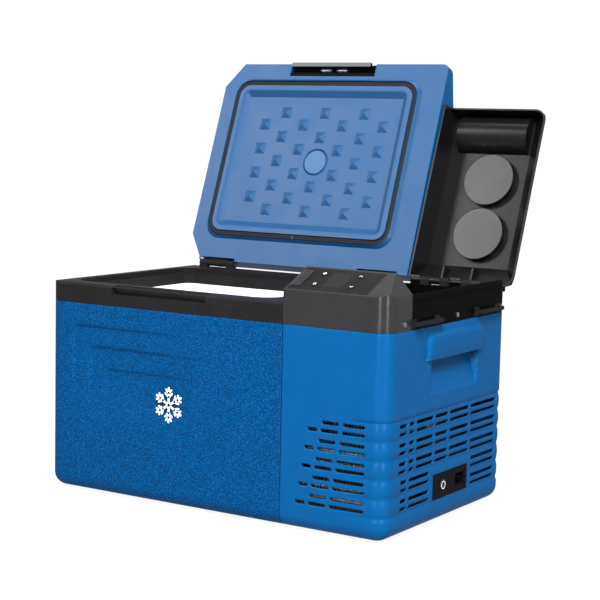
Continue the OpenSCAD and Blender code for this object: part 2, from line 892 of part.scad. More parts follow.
plug_x0 = panel_x0 - 20;
plug_x1 = panel_x1 + 20;
plug_y0 = panel_y0 - 20;
plug_y1 = panel_y1 + 20;
gasket_out = 17;
gasket_w = 8;
panel_wall = 9;
floor_z = lid_z - plug_drop + panel_depth;

module panel_rect(grow, r) {
    round_rect(panel_x0 - grow, panel_x1 + grow, panel_y0 - grow, panel_y1 + grow, r);
}

pyramid_w = 19;
pyramid_h = 4;
pyramid_x = 73.5;
pyramid_y = 20.6;

// Nine staggered rows of low pyramids around a round boss
module pyramids() {
    cx = (panel_x0 + panel_x1) / 2 + 2;
    cy = (panel_y0 + panel_y1) / 2 + 2;
    for (row = [-4 : 4]) {
        n = row % 2 == 0 ? 3 : 4;
        for (i = [0 : n - 1]) {
            x = cx + (i - (n - 1) / 2) * pyramid_x;
            if (row != 0 || i != 1) translate([x, cy + row * pyramid_y, floor_z + 0.2]) rotate([180, 0, 45])
                cylinder(h = pyramid_h, r1 = pyramid_w / sqrt(2), r2 = 0, $fn = 4);
        }
    }
    translate([cx, cy, floor_z - 2.4]) cylinder(h = 2.5, r = 18);
}

// Sunken panel that widens towards its mouth in three small steps
module panel_hollow() {
    for (k = [0 : 2]) translate([0, 0, lid_z - plug_drop - 1]) linear_extrude(1 + panel_depth * (k + 1) / 3)
        panel_rect(-panel_wall * (k + 0.3) / 3, 10 - k);
}

module lid_liner() color([0.2, 0.45, 0.75]) place() swing(lid_open) {
    difference() {
        union() {
            translate([0, 0, lid_z]) linear_extrude(3) lid_outline(0);
            translate([0, 0, lid_z - plug_drop]) linear_extrude(plug_drop + 1)
                round_rect(plug_x0, plug_x1, plug_y0, plug_y1, 26);
            translate([0, 0, lid_z + 2]) linear_extrude(floor_z - lid_z + 0.5) panel_rect(2, 12);
        }
        panel_hollow();
        translate([0, 0, lid_z - plug_drop - 1]) linear_extrude(5) difference() {
            panel_rect(gasket_out, 20);
            panel_rect(gasket_out - gasket_w, 12);
        }
        translate([0, 0, lid_z - plug_drop + 6.2]) linear_extrude(10) difference() {
            round_rect(plug_x0 + 2.5, plug_x1 - 2.5, plug_y0 + 2.5, plug_y1 - 2.5, 23.5);
            panel_rect(2, 12);
        }
        lid_notches(0);
    }
    pyramids();
}

module lid_gasket() color([0.24, 0.25, 0.26]) place() swing(lid_open) {
    translate([0, 0, lid_z - plug_drop - 1.6]) linear_extrude(5.4) difference() {
        panel_rect(gasket_out - 0.3, 19.7);
        panel_rect(gasket_out - gasket_w + 0.3, 12.3);
    }
}

module lid_foam() color([0.93, 0.9, 0.78]) place() swing(lid_open) {
    difference() {
        intersection() {
            lid_form(wall + gap, lid_seam + 0.2);
            block(lid_x0, lid_x1, lid_y0, lid_y1, lid_seam + 5, lid_top);
        }
        lid_notches(3);
    }
}

module lid_hinge_leaves() color(black) place() swing(lid_open) {
    difference() {
        union() {
            for (i = [0 : 1]) {
                x0 = hinge_at[i] + 14.4;
                x1 = hinge_at[i] + hinge_span[i] - 14.4;
                rod_x(x0, x1, hinge_y, hinge_z, knuckle_r);
                block(x0, x1, lid_y1 - 4.8, hinge_y, hinge_z - 1, hinge_z + 5.4);
                block(x0, x1, lid_y1, lid_y1 + 2.6, hinge_z + 4, hinge_z + 26);
            }
        }
        hinge_bores(pin_r + 0.06);
    }
}

module hinge_screws() color(steel) place() swing(lid_open) {
    for (i = [0 : 1], x = [24, 42]) translate([hinge_at[i] + x, lid_y1 + 2.6, hinge_z + 19]) {
        rotate([-90, 0, 0]) cylinder(h = 1.4, r = 3);
    }
}

// ---------- latch ----------

spring_at = [-114, -84];
spring_run = 24;

module latch_handle() color([0.12, 0.12, 0.13]) place() swing(lid_open) {
    difference() {
        union() {
            rod_x(latch_x0, latch_x1, latch_y, latch_z, 4.2);
            block(latch_x0, latch_x1, lid_y0 + 0.5, latch_y, latch_z - 4.2, latch_z - 1);
            block(latch_x0, latch_x1, lid_y0 + 0.5, lid_y0 + 3, latch_z - 4.2, latch_z + 4);
            block(latch_x0 + 4, latch_x1 - 4, 5.8, 8.4, rim_h - 8, latch_z - 1);
            block(latch_x0 + 4, latch_x1 - 4, 1.6, 6, rim_h - 8, rim_h - 3.2);
        }
        rod_x(latch_x0 - 1, latch_x1 + 1, latch_y, latch_z, 1.56);
        for (x = spring_at) block(x, x + spring_run, latch_y - 4.6, latch_y + 6, latch_z - 4.6, latch_z + 6);
    }
}

module latch_pin() color(steel) place() swing(lid_open) {
    rod_x(latch_x0 - 4.2, latch_x1 + 4.2, latch_y, latch_z, 1.5);
}

module latch_spring() color([0.6, 0.61, 0.63]) place() swing(lid_open) {
    for (x = spring_at) {
        for (k = [0 : 8]) translate([x + 5.2 + 1.7 * k, latch_y, latch_z]) rotate([0, 90, 0])
            rotate_extrude() translate([2.9, 0]) circle(0.9);
        block(x + 4.6, x + 5.8, latch_y, latch_y + 6.8, latch_z + 2, latch_z + 3.2);
    }
}

// ---------- tray lid ----------

well_r = 38;
well_x = 205;
well_v = [84, 170];
well_depth = 10;
trough_r = 28;
trough_x0 = 145;
trough_x1 = 256;
trough_v = 244;

module tray_outline(inset) {
    i = inset;
    round_rect(tray_x0 + i, tray_x1 - i, tray_y0 + i, tray_y1 - i, 18 - i);
    translate([tray_x0 + i, tray_y0 + i]) square([30, tray_y1 - tray_y0 - 2 * i]);
    translate([tray_x0 + i, tray_y0 + i]) square([tray_x1 - tray_x0 - 26, 30]);
}

// Outer form of the tray lid, which slopes in at its right side and at its back
module tray_form(inset, z0) {
    i = inset;
    k = inset * 0.6;
    intersection() {
        translate([0, 0, z0]) linear_extrude(tray_top - i - z0) tray_outline(i);
        along_y(tray_y0, tray_y1) polygon([
            [tray_x0 + i, z0], [tray_x1 - i, z0], [tray_x1 - i, tray_z + 3],
            [tray_x1 - 26 - k, tray_top - i], [tray_x0 + i, tray_top - i]
        ]);
        along_x(tray_x0, tray_x1) polygon([
            [tray_y0 + i, z0], [tray_y1 - i, z0], [tray_y1 - i, tray_z + 4],
            [tray_y1 - 32 - k, tray_top - i], [tray_y0 + i, tray_top - i]
        ]);
    }
}

module tray_solids(grow) {
    for (v = well_v) translate([well_x, tray_y1 - v, tray_top - well_depth - grow])
        cylinder(h = well_depth + grow, r = well_r + grow);
    intersection() {
        rod_x(trough_x0 - grow, trough_x1 + grow, tray_y1 - trough_v, tray_top + 4, trough_r + grow);
        block(0, half_l + 9, 0, body_d, 0, tray_top);
    }
}

module tray_lid() color(black) place() swing(tray_open) {
    difference() {
        union() {
            difference() {
                tray_form(0, tray_z);
                tray_form(tray_t, tray_z - 1);
            }
            tray_solids(tray_t);
            block(tray_x0, 280, tray_y1 - tray_t, tray_y1, rim_h + 1.8, tray_z + 1);
            block(tray_x0, tray_x0 + tray_t, tray_y0, tray_y1, rim_h + 1, tray_z + 1);
            intersection() {
                tray_form(1, tray_z);
                for (x = [170, 218]) block(x, x + 3, tray_y1 - 24, tray_y1, tray_z, tray_top);
            }
        }
        tray_cut();
        for (i = [2 : 3]) block(hinge_at[i] - 2, hinge_at[i] + hinge_span[i] + 2, tray_y1 - 5, tray_y1 + 1,
            tray_z - 30, hinge_z + 8);
    }
}

module tray_cut() {
    for (v = well_v) translate([well_x, tray_y1 - v, tray_top - well_depth])
        cylinder(h = well_depth + 1, r = well_r);
    rod_x(trough_x0, trough_x1, tray_y1 - trough_v, tray_top + 4, trough_r);
}

module tray_hinge_leaves() color(black) place() swing(tray_open) {
    difference() {
        for (i = [2 : 3]) {
            x0 = hinge_at[i] + 14.4;
            x1 = hinge_at[i] + hinge_span[i] - 14.4;
            rod_x(x0, x1, hinge_y, hinge_z, knuckle_r);
            block(x0, x1, tray_y1, hinge_y + 1, hinge_z, hinge_z + 14);
        }
        hinge_bores(pin_r + 0.06);
    }
}

tub_housing();
machine_housing();
service_plate();
feet();
bulkhead();
inner_liner();
foam_jacket();
evaporator_sheet();
evaporator_coil();
tub_rim();
deck_frame();
console_cover();
control_fascia();
display_window();
power_button();
set_button();
up_button();
down_button();
keypad_mat();
display_board();
usb_socket();
usb_cover();
compressor();
compressor_plate();
rubber_bushes();
compressor_bolts();
condenser();
fan_frame();
fan_rotor();
control_board();
filter_drier();
suction_line();
discharge_line();
capillary_tube();
temperature_probe();
power_panel();
dc_socket();
socket_pins();
fuse_holder();
fuse_cap();
strap_loops();
rim_screws();
hinge_brackets();
hinge_pins();
hinge_screws();
lid_shell();
lid_liner();
lid_foam();
lid_gasket();
lid_hinge_leaves();
latch_handle();
latch_pin();
latch_spring();
tray_lid();
tray_hinge_leaves();
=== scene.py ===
import json
import math

import bmesh
import bpy
from mathutils import Matrix, Vector
from mathutils.geometry import delaunay_2d_cdt


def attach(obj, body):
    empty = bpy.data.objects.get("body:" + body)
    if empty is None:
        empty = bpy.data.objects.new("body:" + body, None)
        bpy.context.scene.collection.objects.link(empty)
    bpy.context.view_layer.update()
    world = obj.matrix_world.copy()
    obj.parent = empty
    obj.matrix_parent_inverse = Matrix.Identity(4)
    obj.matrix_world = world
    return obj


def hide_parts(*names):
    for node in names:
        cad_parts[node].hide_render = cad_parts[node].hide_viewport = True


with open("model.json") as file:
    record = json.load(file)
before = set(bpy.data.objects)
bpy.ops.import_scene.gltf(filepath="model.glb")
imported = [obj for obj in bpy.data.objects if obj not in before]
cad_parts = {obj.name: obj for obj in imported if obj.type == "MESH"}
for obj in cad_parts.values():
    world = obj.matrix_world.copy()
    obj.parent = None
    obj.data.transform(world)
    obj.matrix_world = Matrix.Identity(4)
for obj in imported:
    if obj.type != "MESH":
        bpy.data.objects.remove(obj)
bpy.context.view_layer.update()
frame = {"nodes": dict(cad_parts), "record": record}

# ---------- the cooler's main sizes, in millimetres ----------

MM = 0.001
Y_MID = 242.354          # from the cabinet's front to the frame's origin
HALF_L = 285.0
BODY_D = 348.0
CORNER_R = 22.0
EDGE_R = 20.0
FOOT_H = 3.0
HOUSING_H = 278.0
HINGE_Y = 343.0
HINGE_Z = 313.5
LID_OPEN = 110.0
TRAY_OPEN = 111.0
DECK_H = 324.5
SLOPE = math.atan2(351 - DECK_H, 58)


# ---------- placing, from the cabinet's middle, its front face and the ground ----------

def at(x, y, z):
    return Vector((x, y - Y_MID, z)) * MM


def swung(angle):
    """Places a point of a closed lid where it is with the lid open."""
    a = math.radians(angle)

    def place(x, y, z):
        dy, dz = y - HINGE_Y, z - HINGE_Z
        return at(
            x,
            HINGE_Y + dy * math.cos(a) + dz * math.sin(a),
            HINGE_Z - dy * math.sin(a) + dz * math.cos(a),
        )

    return place


def on_slope(x, v, w):
    """A point of the console's slope, v up along it and w out of it."""
    y = v * math.cos(SLOPE) - w * math.sin(SLOPE)
    z = DECK_H + v * math.sin(SLOPE) + w * math.cos(SLOPE)
    return at(x, y, z)


on_lid = swung(LID_OPEN)
on_tray = swung(TRAY_OPEN)


# ---------- camera ----------

CAMERA_YAW = 32.65
CAMERA_PITCH = 6.47
CAMERA_ROLL = 1.25
CAMERA_PLACE = (1277.4, -1759.3, 549.0)
CAMERA_LENS = 96


def make_camera():
    yaw, pitch, roll = (math.radians(a) for a in (CAMERA_YAW, CAMERA_PITCH, CAMERA_ROLL))
    ahead = Vector((-math.sin(yaw) * math.cos(pitch), math.cos(yaw) * math.cos(pitch), -math.sin(pitch)))
    right = Vector((math.cos(yaw), math.sin(yaw), 0))
    up = right.cross(ahead)
    right, up = (
        right * math.cos(roll) + up * math.sin(roll),
        up * math.cos(roll) - right * math.sin(roll),
    )
    data = bpy.data.cameras.new("camera")
    data.sensor_width = 36
    data.lens = CAMERA_LENS
    data.clip_end = 50
    camera = bpy.data.objects.new("camera", data)
    place = Matrix((right, up, -ahead)).transposed().to_4x4()
    place.translation = at(*CAMERA_PLACE)
    camera.matrix_world = place
    bpy.context.collection.objects.link(camera)
    bpy.context.scene.camera = camera


make_camera()


# ---------- kinds of material ----------

class Nodes:
    """A short way to write a node tree."""

    def __init__(self, name):
        self.material = bpy.data.materials.new(name)
        self.material.use_nodes = True
        self.tree = self.material.node_tree
        self.tree.nodes.clear()
        self.out = self.add("ShaderNodeOutputMaterial")

    def add(self, kind, inputs=None, **settings):
        node = self.tree.nodes.new(kind)
        for key, value in settings.items():
            setattr(node, key, value)
        for key, value in (inputs or {}).items():
            if isinstance(value, bpy.types.NodeSocket):
                self.tree.links.new(value, node.inputs[key])
            else:
                node.inputs[key].default_value = value
        return node

    def place(self):
        return self.add("ShaderNodeTexCoord").outputs["Object"]

    def noise(self, place, scale, detail, rough):
        inputs = {"Vector": place, "Scale": scale, "Detail": detail, "Roughness": rough}
        return self.add("ShaderNodeTexNoise", inputs).outputs["Fac"]

    def cells(self, place, scale):
        return self.add("ShaderNodeTexVoronoi", {"Vector": place, "Scale": scale}).outputs["Distance"]

    def calc(self, operation, a, b):
        return self.add("ShaderNodeMath", {0: a, 1: b}, operation=operation).outputs[0]

    def ramp(self, factor, low, high):
        """Two stops, each a place and a colour."""
        node = self.add("ShaderNodeValToRGB", {"Fac": factor})
        for element, (place, colour) in zip(node.color_ramp.elements, (low, high)):
            element.position = place
            element.color = colour
        return node.outputs["Color"]

    def bump(self, height, strength, distance):
        inputs = {"Height": height, "Strength": strength, "Distance": distance * MM}
        return self.add("ShaderNodeBump", inputs).outputs["Normal"]

    def surface(self, **inputs):
        named = {key.replace("_", " "): value for key, value in inputs.items()}
        shader = self.add("ShaderNodeBsdfPrincipled", named)
        self.tree.links.new(shader.outputs[0], self.out.inputs["Surface"])
        return self.material


def grey(v):
    return (v, v, v, 1)


def tinted(colour, factor):
    return tuple(min(1.0, c * factor) for c in colour) + (1,)


def plastic(name, colour, rough=0.5, grain=900.0, depth=0.25, grain_mm=0.1, mottle=0.08, coat=0.0,
            specular=0.5, pits=False, rough_spread=0.08):
    """Moulded plastic: a fine or coarse grain, a little colour variation and uneven gloss."""
    n = Nodes(name)
    place = n.place()
    clouds = n.noise(place, 22.0, 4.0, 0.6)
    specks = n.noise(place, grain, 2.0, 0.5)
    half = n.calc("MULTIPLY", n.calc("ADD", clouds, specks), 0.5)
    dark, light = tinted(colour, 1 - mottle), tinted(colour, 1 + mottle)
    shiny, dull = grey(max(rough - rough_spread, 0.02)), grey(min(rough + rough_spread, 1))
    if pits:
        height = n.calc("ADD", n.cells(place, grain * 0.7), specks)
        base = n.ramp(height, (0.6, light), (1.25, dark))
    else:
        height = specks
        base = n.ramp(half, (0.35, dark), (0.65, light))
    return n.surface(
        Base_Color=base, Roughness=n.ramp(half, (0.3, shiny), (0.7, dull)),
        Normal=n.bump(height, depth, grain_mm), Coat_Weight=coat, Coat_Roughness=0.15,
        Specular_IOR_Level=specular)


def metal(name, colour, rough=0.3, stretch=(1, 1, 1)):
    """Metal with fine drawn or brushed lines and uneven gloss."""
    n = Nodes(name)
    pulled = n.add("ShaderNodeMapping", {"Vector": n.place(), "Scale": stretch}).outputs[0]
    lines = n.noise(pulled, 260.0, 6.0, 0.7)
    return n.surface(
        Base_Color=n.ramp(lines, (0.3, tinted(colour, 0.86)), (0.7, tinted(colour, 1.05))),
        Roughness=n.ramp(lines, (0.3, grey(max(rough - 0.1, 0.03))), (0.7, grey(rough + 0.12))),
        Normal=n.bump(lines, 0.15, 0.05), Metallic=1.0)


def foam(name, colour):
    n = Nodes(name)
    cells = n.cells(n.place(), 420.0)
    return n.surface(
        Base_Color=n.ramp(cells, (0.1, tinted(colour, 0.8)), (0.6, tinted(colour, 1.04))),
        Roughness=0.9, Normal=n.bump(cells, 0.5, 0.4))


# ---------- this cooler's materials ----------

PLASTICS = {
    # The blue shells
    "textured_blue": dict(
        colour=(0.0004, 0.073, 0.233), rough=0.33, grain=760.0, depth=0.75, grain_mm=0.65,
        mottle=0.5, pits=True, specular=0.05),
    "smooth_blue": dict(
        colour=(0.0004, 0.066, 0.2), rough=0.3, grain=1500.0, depth=0.2, grain_mm=0.06,
        mottle=0.05, specular=0.09),
    "lid_blue": dict(
        colour=(0.004, 0.055, 0.155), rough=0.4, grain=1500.0, depth=0.3, grain_mm=0.08, mottle=0.05),
    # The boss's smoother face; its lighter colour is a painted sheen
    "lid_gloss_and_painted_sheen": dict(
        colour=(0.005, 0.072, 0.19), rough=0.34, grain=1500.0, depth=0.2, grain_mm=0.06, mottle=0.04),
    # The black frame, console and tray lid
    "black_plastic": dict(
        colour=(0.0125, 0.0118, 0.0126), rough=0.34, grain=1300.0, depth=0.5, grain_mm=0.12,
        mottle=0.2, specular=0.05),
    # The deck's and the latch's own black; the joint bands and the strip beside the latch use it as painted
    # shade
    "deck_black_and_painted_shade": dict(
        colour=(0.0018, 0.0018, 0.002), rough=0.36, grain=1300.0, depth=0.5, grain_mm=0.12,
        mottle=0.2, specular=0.03),
    # The console's glossier black, with a lighter base colour as a painted reflection
    "console_black_and_painted_reflection": dict(
        colour=(0.0175, 0.0168, 0.0182), rough=0.23, grain=1300.0, depth=0.4, grain_mm=0.05,
        mottle=0.15, specular=0.6),
    "tray_black": dict(
        colour=(0.005, 0.005, 0.0058), rough=0.27, grain=1400.0, grain_mm=0.06,
        mottle=0.15, specular=0.34, rough_spread=0.05),
    # The cup wells' smoother floor; its lighter base colour is a painted reflection
    "tray_disc_and_painted_reflection": dict(
        colour=(0.012, 0.0125, 0.014), rough=0.3, grain=1400.0, depth=0.2, grain_mm=0.05,
        mottle=0.15, specular=0.8, rough_spread=0.05),
    # Small dark parts
    "black_gloss": dict(
        colour=(0.003, 0.003, 0.0035), rough=0.16, grain=1500.0, depth=0.05, grain_mm=0.03,
        mottle=0.05, specular=0.06, rough_spread=0.03),
    "display_glass": dict(
        colour=(0.0135, 0.013, 0.014), rough=0.14, grain=1500.0, depth=0.05, grain_mm=0.03,
        mottle=0.05, specular=0.3, rough_spread=0.03),
    "dark_grey": dict(
        colour=(0.022, 0.022, 0.024), rough=0.38, grain=1300.0, depth=0.3, grain_mm=0.08, mottle=0.1),
    # The seal joint's grey; on the latch's face it is a painted highlight
    "grey_and_painted_highlight": dict(
        colour=(0.1, 0.107, 0.114), rough=0.4, grain=1300.0, depth=0.3, grain_mm=0.08,
        mottle=0.1, specular=0.12),
    "pad_grey": dict(
        colour=(0.022, 0.0225, 0.0235), rough=0.42, grain=1300.0, depth=0.3, grain_mm=0.08, mottle=0.1),
    "rubber": dict(
        colour=(0.012, 0.012, 0.0125), rough=0.75, grain=1100.0, depth=0.5, mottle=0.15, specular=0.3),
    "gasket": dict(
        colour=(0.011, 0.011, 0.0125), rough=0.62, grain=1200.0, depth=0.3, grain_mm=0.08,
        mottle=0.1, specular=0.3),
    "black_metal": dict(
        colour=(0.008, 0.008, 0.009), rough=0.3, grain=700.0, depth=0.2, grain_mm=0.08,
        mottle=0.1, coat=0.2),
    # Light parts and the boards
    "white_liner": dict(
        colour=(0.86, 0.87, 0.88), rough=0.28, depth=0.08, grain_mm=0.05, mottle=0.015),
    "white_print": dict(
        colour=(0.85, 0.86, 0.88), rough=0.45, grain=1500.0, depth=0.1, grain_mm=0.03, mottle=0.01),
    "board": dict(
        colour=(0.01, 0.09, 0.035), rough=0.35, grain=800.0, depth=0.2, grain_mm=0.08, mottle=0.15),
}
METALS = {
    "steel": dict(colour=(0.62, 0.62, 0.64), rough=0.28),
    "screw_steel": dict(colour=(0.66, 0.66, 0.67)),
    "aluminium": dict(colour=(0.72, 0.73, 0.75), rough=0.34, stretch=(1, 1, 12)),
    "copper": dict(colour=(0.75, 0.36, 0.2), stretch=(6, 1, 1)),
    "pins": dict(colour=(0.78, 0.62, 0.28), rough=0.22),
}
MATERIALS = {name: plastic(name, **look) for name, look in PLASTICS.items()}
MATERIALS.update({name: metal(name, **look) for name, look in METALS.items()})
MATERIALS["foam"] = foam("foam", (0.78, 0.70, 0.48))

# Nodes that look different from the rest of their material slot
NODE_MATERIAL = {
    "tray_lid": "tray_black", "tray_hinge_leaves": "tray_black", "latch_handle": "deck_black_and_painted_shade",
    "rim_screws": "screw_steel", "usb_cover": "pad_grey", "console_cover": "console_black_and_painted_reflection",
    "deck_frame": "deck_black_and_painted_shade", "control_fascia": "black_plastic", "display_window": "display_glass",
    "power_button": "black_plastic", "set_button": "black_plastic", "up_button": "black_plastic",
    "down_button": "black_plastic",
}


def dress(piece, name):
    piece.data.materials.clear()
    piece.data.materials.append(MATERIALS[name])


# ---------- mesh helpers ----------

def sharpen(bm, degrees):
    """Shades smooth, apart from edges that turn by more than the angle."""
    limit = math.radians(degrees)
    for face in bm.faces:
        face.smooth = True
    for edge in bm.edges:
        edge.smooth = not edge.is_manifold or edge.calc_face_angle(0) < limit


def finish_mesh(name, bm, body, material, replaced=(), degrees=35):
    """Makes the piece, rides it on its body and hides the CAD nodes it stands in for."""
    sharpen(bm, degrees)
    mesh = bpy.data.meshes.new(name)
    bm.to_mesh(mesh)
    bm.free()
    piece = bpy.data.objects.new(name, mesh)
    bpy.context.collection.objects.link(piece)
    dress(piece, material)
    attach(piece, body)
    if replaced:
        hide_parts(*replaced)
    return piece


def bevel(piece, width, segments):
    mod = piece.modifiers.new("edges", "BEVEL")
    mod.width = width * MM
    mod.segments = segments
    mod.limit_method = "ANGLE"
    mod.angle_limit = math.radians(30)
    mod.harden_normals = False
    mod.use_clamp_overlap = True


def round_corner(cx, cy, r, a0, a1, steps=6):
    angles = [math.radians(a0 + (a1 - a0) * i / steps) for i in range(steps + 1)]
    return [(cx + r * math.cos(a), cy + r * math.sin(a)) for a in angles]


def circle(cx, cy, r, steps):
    return round_corner(cx, cy, r, 0, 360 - 360 / steps, steps - 1)


def split_runs(points, run):
    """Adds points along the long straight runs of a closed outline."""
    out = []
    for a, b in zip(points, points[1:] + points[:1]):
        n = max(1, int(math.dist(a, b) / run))
        out += [(a[0] + (b[0] - a[0]) * i / n, a[1] + (b[1] - a[1]) * i / n) for i in range(n)]
    return out


class Patch:
    """A rectangle with round corners, as the place of a slot, a recess or a frame."""

    def __init__(self, x0, x1, y0, y1, r):
        self.x0, self.x1, self.y0, self.y1, self.r = x0, x1, y0, y1, r

    def grown(self, g):
        return Patch(self.x0 - g, self.x1 + g, self.y0 - g, self.y1 + g, max(self.r + g, 0.05))

    def dist(self, x, y):
        """How far outside the outline a point is, or inside if negative."""
        dx = abs(x - (self.x0 + self.x1) / 2) - (self.x1 - self.x0) / 2 + self.r
        dy = abs(y - (self.y0 + self.y1) / 2) - (self.y1 - self.y0) / 2 + self.r
        return math.hypot(max(dx, 0), max(dy, 0)) + min(max(dx, dy), 0) - self.r

    def outline(self, grow=0.0, steps=5, run=0.0):
        p = self.grown(grow) if grow else self
        corners = (
            (p.x1 - p.r, p.y1 - p.r, 0), (p.x0 + p.r, p.y1 - p.r, 90),
            (p.x0 + p.r, p.y0 + p.r, 180), (p.x1 - p.r, p.y0 + p.r, 270),
        )
        out = []
        for cx, cy, a0 in corners:
            out += round_corner(cx, cy, p.r, a0, a0 + 90, steps)
        return split_runs(out, run) if run else out


def inside(polygon, x, y):
    hit = False
    for (x0, y0), (x1, y1) in zip(polygon, polygon[1:] + polygon[:1]):
        if (y0 > y) != (y1 > y) and x < (x1 - x0) * (y - y0) / (y1 - y0) + x0:
            hit = not hit
    return hit


def triangles(points, loops, keep):
    """Triangles between loose points and closed or open lines, for those whose middle passes keep."""
    flat = [Vector(p) for p in points]
    edges = []
    for line, closed in loops:
        first = len(flat)
        flat += [Vector(p) for p in line]
        count = len(line) if closed else len(line) - 1
        edges += [(first + i, first + (i + 1) % len(line)) for i in range(count)]
    spots, _, faces, *_ = delaunay_2d_cdt(flat, edges, [], 0, 1e-4)
    kept = []
    for face in faces:
        mx = sum(spots[i][0] for i in face) / len(face)
        my = sum(spots[i][1] for i in face) / len(face)
        if keep(mx, my):
            kept.append(face)
    return spots, kept


def drop_loose(bm):
    bmesh.ops.delete(bm, geom=[v for v in bm.verts if not v.link_faces], context="VERTS")


def spread(a, b, step):
    """Even places from a to b, about a step apart."""
    n = max(1, round((b - a) / step))
    return [a + (b - a) * i / n for i in range(n + 1)]


def joined(*parts):
    """The places of several spreads in order, each one once."""
    return sorted({place for part in parts for place in part})


def smooth(t):
    t = min(max(t, 0.0), 1.0)
    return t * t * (3 - 2 * t)


def swept_ring(name, path, profile, place, body, material, replaced=()):
    """A closed strip along a flat outline. The profile gives each line's distance from it and its height."""
    bm = bmesh.new()
    n = len(path)
    rings = []
    for i, (x, y) in enumerate(path):
        ax, ay = path[i - 1]
        bx, by = path[(i + 1) % n]
        tx, ty = bx - ax, by - ay
        size = math.hypot(tx, ty)
        nx, ny = ty / size, -tx / size
        rings.append([bm.verts.new(place(x + nx * out, y + ny * out, z)) for out, z in profile])
    m = len(profile)
    for i in range(n):
        a, b = rings[i], rings[(i + 1) % n]
        for k in range(m):
            bm.faces.new((a[k], a[(k + 1) % m], b[(k + 1) % m], b[k]))
    bmesh.ops.recalc_face_normals(bm, faces=bm.faces)
    return finish_mesh(name, bm, body, material, replaced, degrees=50)


MARK_SUNK = 0.15


def flat_marks(name, shapes, place, lift, body, material):
    """Thin raised marks: each shape is a closed outline, given as a thin plate on a surface."""
    bm = bmesh.new()
    for shape in shapes:
        low = [bm.verts.new(place(a, b, lift - MARK_SUNK)) for a, b in shape]
        top = [bm.verts.new(place(a, b, lift)) for a, b in shape]
        n = len(shape)
        bm.faces.new(top)
        bm.faces.new(low[::-1])
        for i in range(n):
            bm.faces.new((low[i], low[(i + 1) % n], top[(i + 1) % n], top[i]))
    bmesh.ops.recalc_face_normals(bm, faces=bm.faces)
    return finish_mesh(name, bm, body, material)


def bar(a, b, width):
    """A short straight stroke with round ends."""
    dx, dy = b[0] - a[0], b[1] - a[1]
    turn = math.degrees(math.atan2(dy, dx))
    return (round_corner(b[0], b[1], width / 2, turn - 90, turn + 90, 4)
            + round_corner(a[0], a[1], width / 2, turn + 90, turn + 270, 4))


def arc_stroke(cx, cy, r, width, a0, a1, steps=14):
    return (round_corner(cx, cy, r + width / 2, a0, a1, steps)
            + round_corner(cx, cy, r - width / 2, a1, a0, steps))


# ---------- blue shells: an unrolled wall with its relief, wrapped around the cabinet ----------

QUARTER = CORNER_R * math.pi / 2
LOW_ARC = EDGE_R * math.pi / 2
LOW_Z = FOOT_H + EDGE_R
TOP_V = HOUSING_H - LOW_Z
SIDE_RUN = BODY_D - 2 * CORNER_R
WALL_T = 2.6
OUTLINE_GAP = 0.35       # loose points stay this far from a slot's outline
WELD = 0.02
JOINT_REACH = 1.6        # the shells' edges turn in by JOINT_DROP over this width
JOINT_DROP = 0.9


class Wall:
    """The outer wall from the joint at the front, round the end, to the joint at the back."""

    def __init__(self, seam, sign):
        self.seam, self.sign = seam, sign
        self.front = HALF_L - CORNER_R - seam * sign
        self.side = self.front + QUARTER
        self.back = self.side + SIDE_RUN
        self.rear = self.back + QUARTER
        self.end = self.rear + self.front

    def u_front(self, x):
        return (x - self.seam) * self.sign

    def u_side(self, y):
        return self.side + y - CORNER_R

    def u_back(self, x):
        return self.end - (x - self.seam) * self.sign

    def plan(self, u):
        """Place on the plan's outline and the direction out of it, for the right-hand end."""
        far = HALF_L - CORNER_R
        if u <= self.front:
            return (far - self.front + u, 0.0), (0.0, -1.0)
        if u < self.side:
            a = (u - self.front) / CORNER_R
            out = (math.sin(a), -math.cos(a))
            return (far + CORNER_R * out[0], CORNER_R + CORNER_R * out[1]), out
        if u <= self.back:
            return (HALF_L, CORNER_R + u - self.side), (1.0, 0.0)
        if u < self.rear:
            a = (u - self.back) / CORNER_R
            out = (math.cos(a), math.sin(a))
            return (far + CORNER_R * out[0], BODY_D - CORNER_R + CORNER_R * out[1]), out
        return (far - (u - self.rear), BODY_D), (0.0, 1.0)

    def place(self, u, v, h):
        """A point u along the wall, v up from the lower edge's curve and h out of the wall."""
        (x, y), (nx, ny) = self.plan(u)
        if v >= 0:
            inset, z, level, drop = 0.0, LOW_Z + v, 1.0, 0.0
        else:
            t = min(-v / EDGE_R, math.pi / 2)
            inset, z = EDGE_R * (1 - math.cos(t)), LOW_Z - EDGE_R * math.sin(t)
            level, drop = math.cos(t), -math.sin(t)
        x += nx * (h * level - inset)
        y += ny * (h * level - inset)
        return at(x * self.sign, y, z + h * drop)

    def columns(self, front, curve, side, rear):
        """Places along the wall, with a step for each of its stretches and fine ones at the joints."""
        return joined(
            spread(0, JOINT_REACH, 0.4), spread(JOINT_REACH, self.front, front),
            spread(self.front, self.side, curve), spread(self.side, self.back, side),
            spread(self.back, self.rear, curve), spread(self.rear, self.end - JOINT_REACH, rear),
            spread(self.end - JOINT_REACH, self.end, 0.4))

    def edge_roll(self, u, z):
        near = min(u, self.end - u, HOUSING_H - z)
        t = min(max(1 - near / JOINT_REACH, 0), 1)
        return -JOINT_DROP * t * t


def add_faces(bm, verts, faces, flip):
    for face in faces:
        ring = [verts[i] for i in face]
        if flip:
            ring.reverse()
        bm.faces.new(ring)


def add_underside(bm, wall, us, opening):
    """The bottom inside the curved lower edge, with the opening that the service plate covers."""
    rim = []
    for p, n in (wall.plan(u) for u in us):
        spot = (p[0] - n[0] * EDGE_R, p[1] - n[1] * EDGE_R)
        if not rim or math.dist(spot, rim[-1]) > 0.01:
            rim.append(spot)
    loops = [(rim, True)]
    if opening:
        loops.append((opening.outline(), True))
    spots, faces = triangles(
        [], loops, lambda x, y: inside(rim, x, y) and not (opening and opening.dist(x, y) < 0))
    under = [bm.verts.new(at(x * wall.sign, y, FOOT_H)) for x, y in spots]
    add_faces(bm, under, faces, wall.sign > 0)


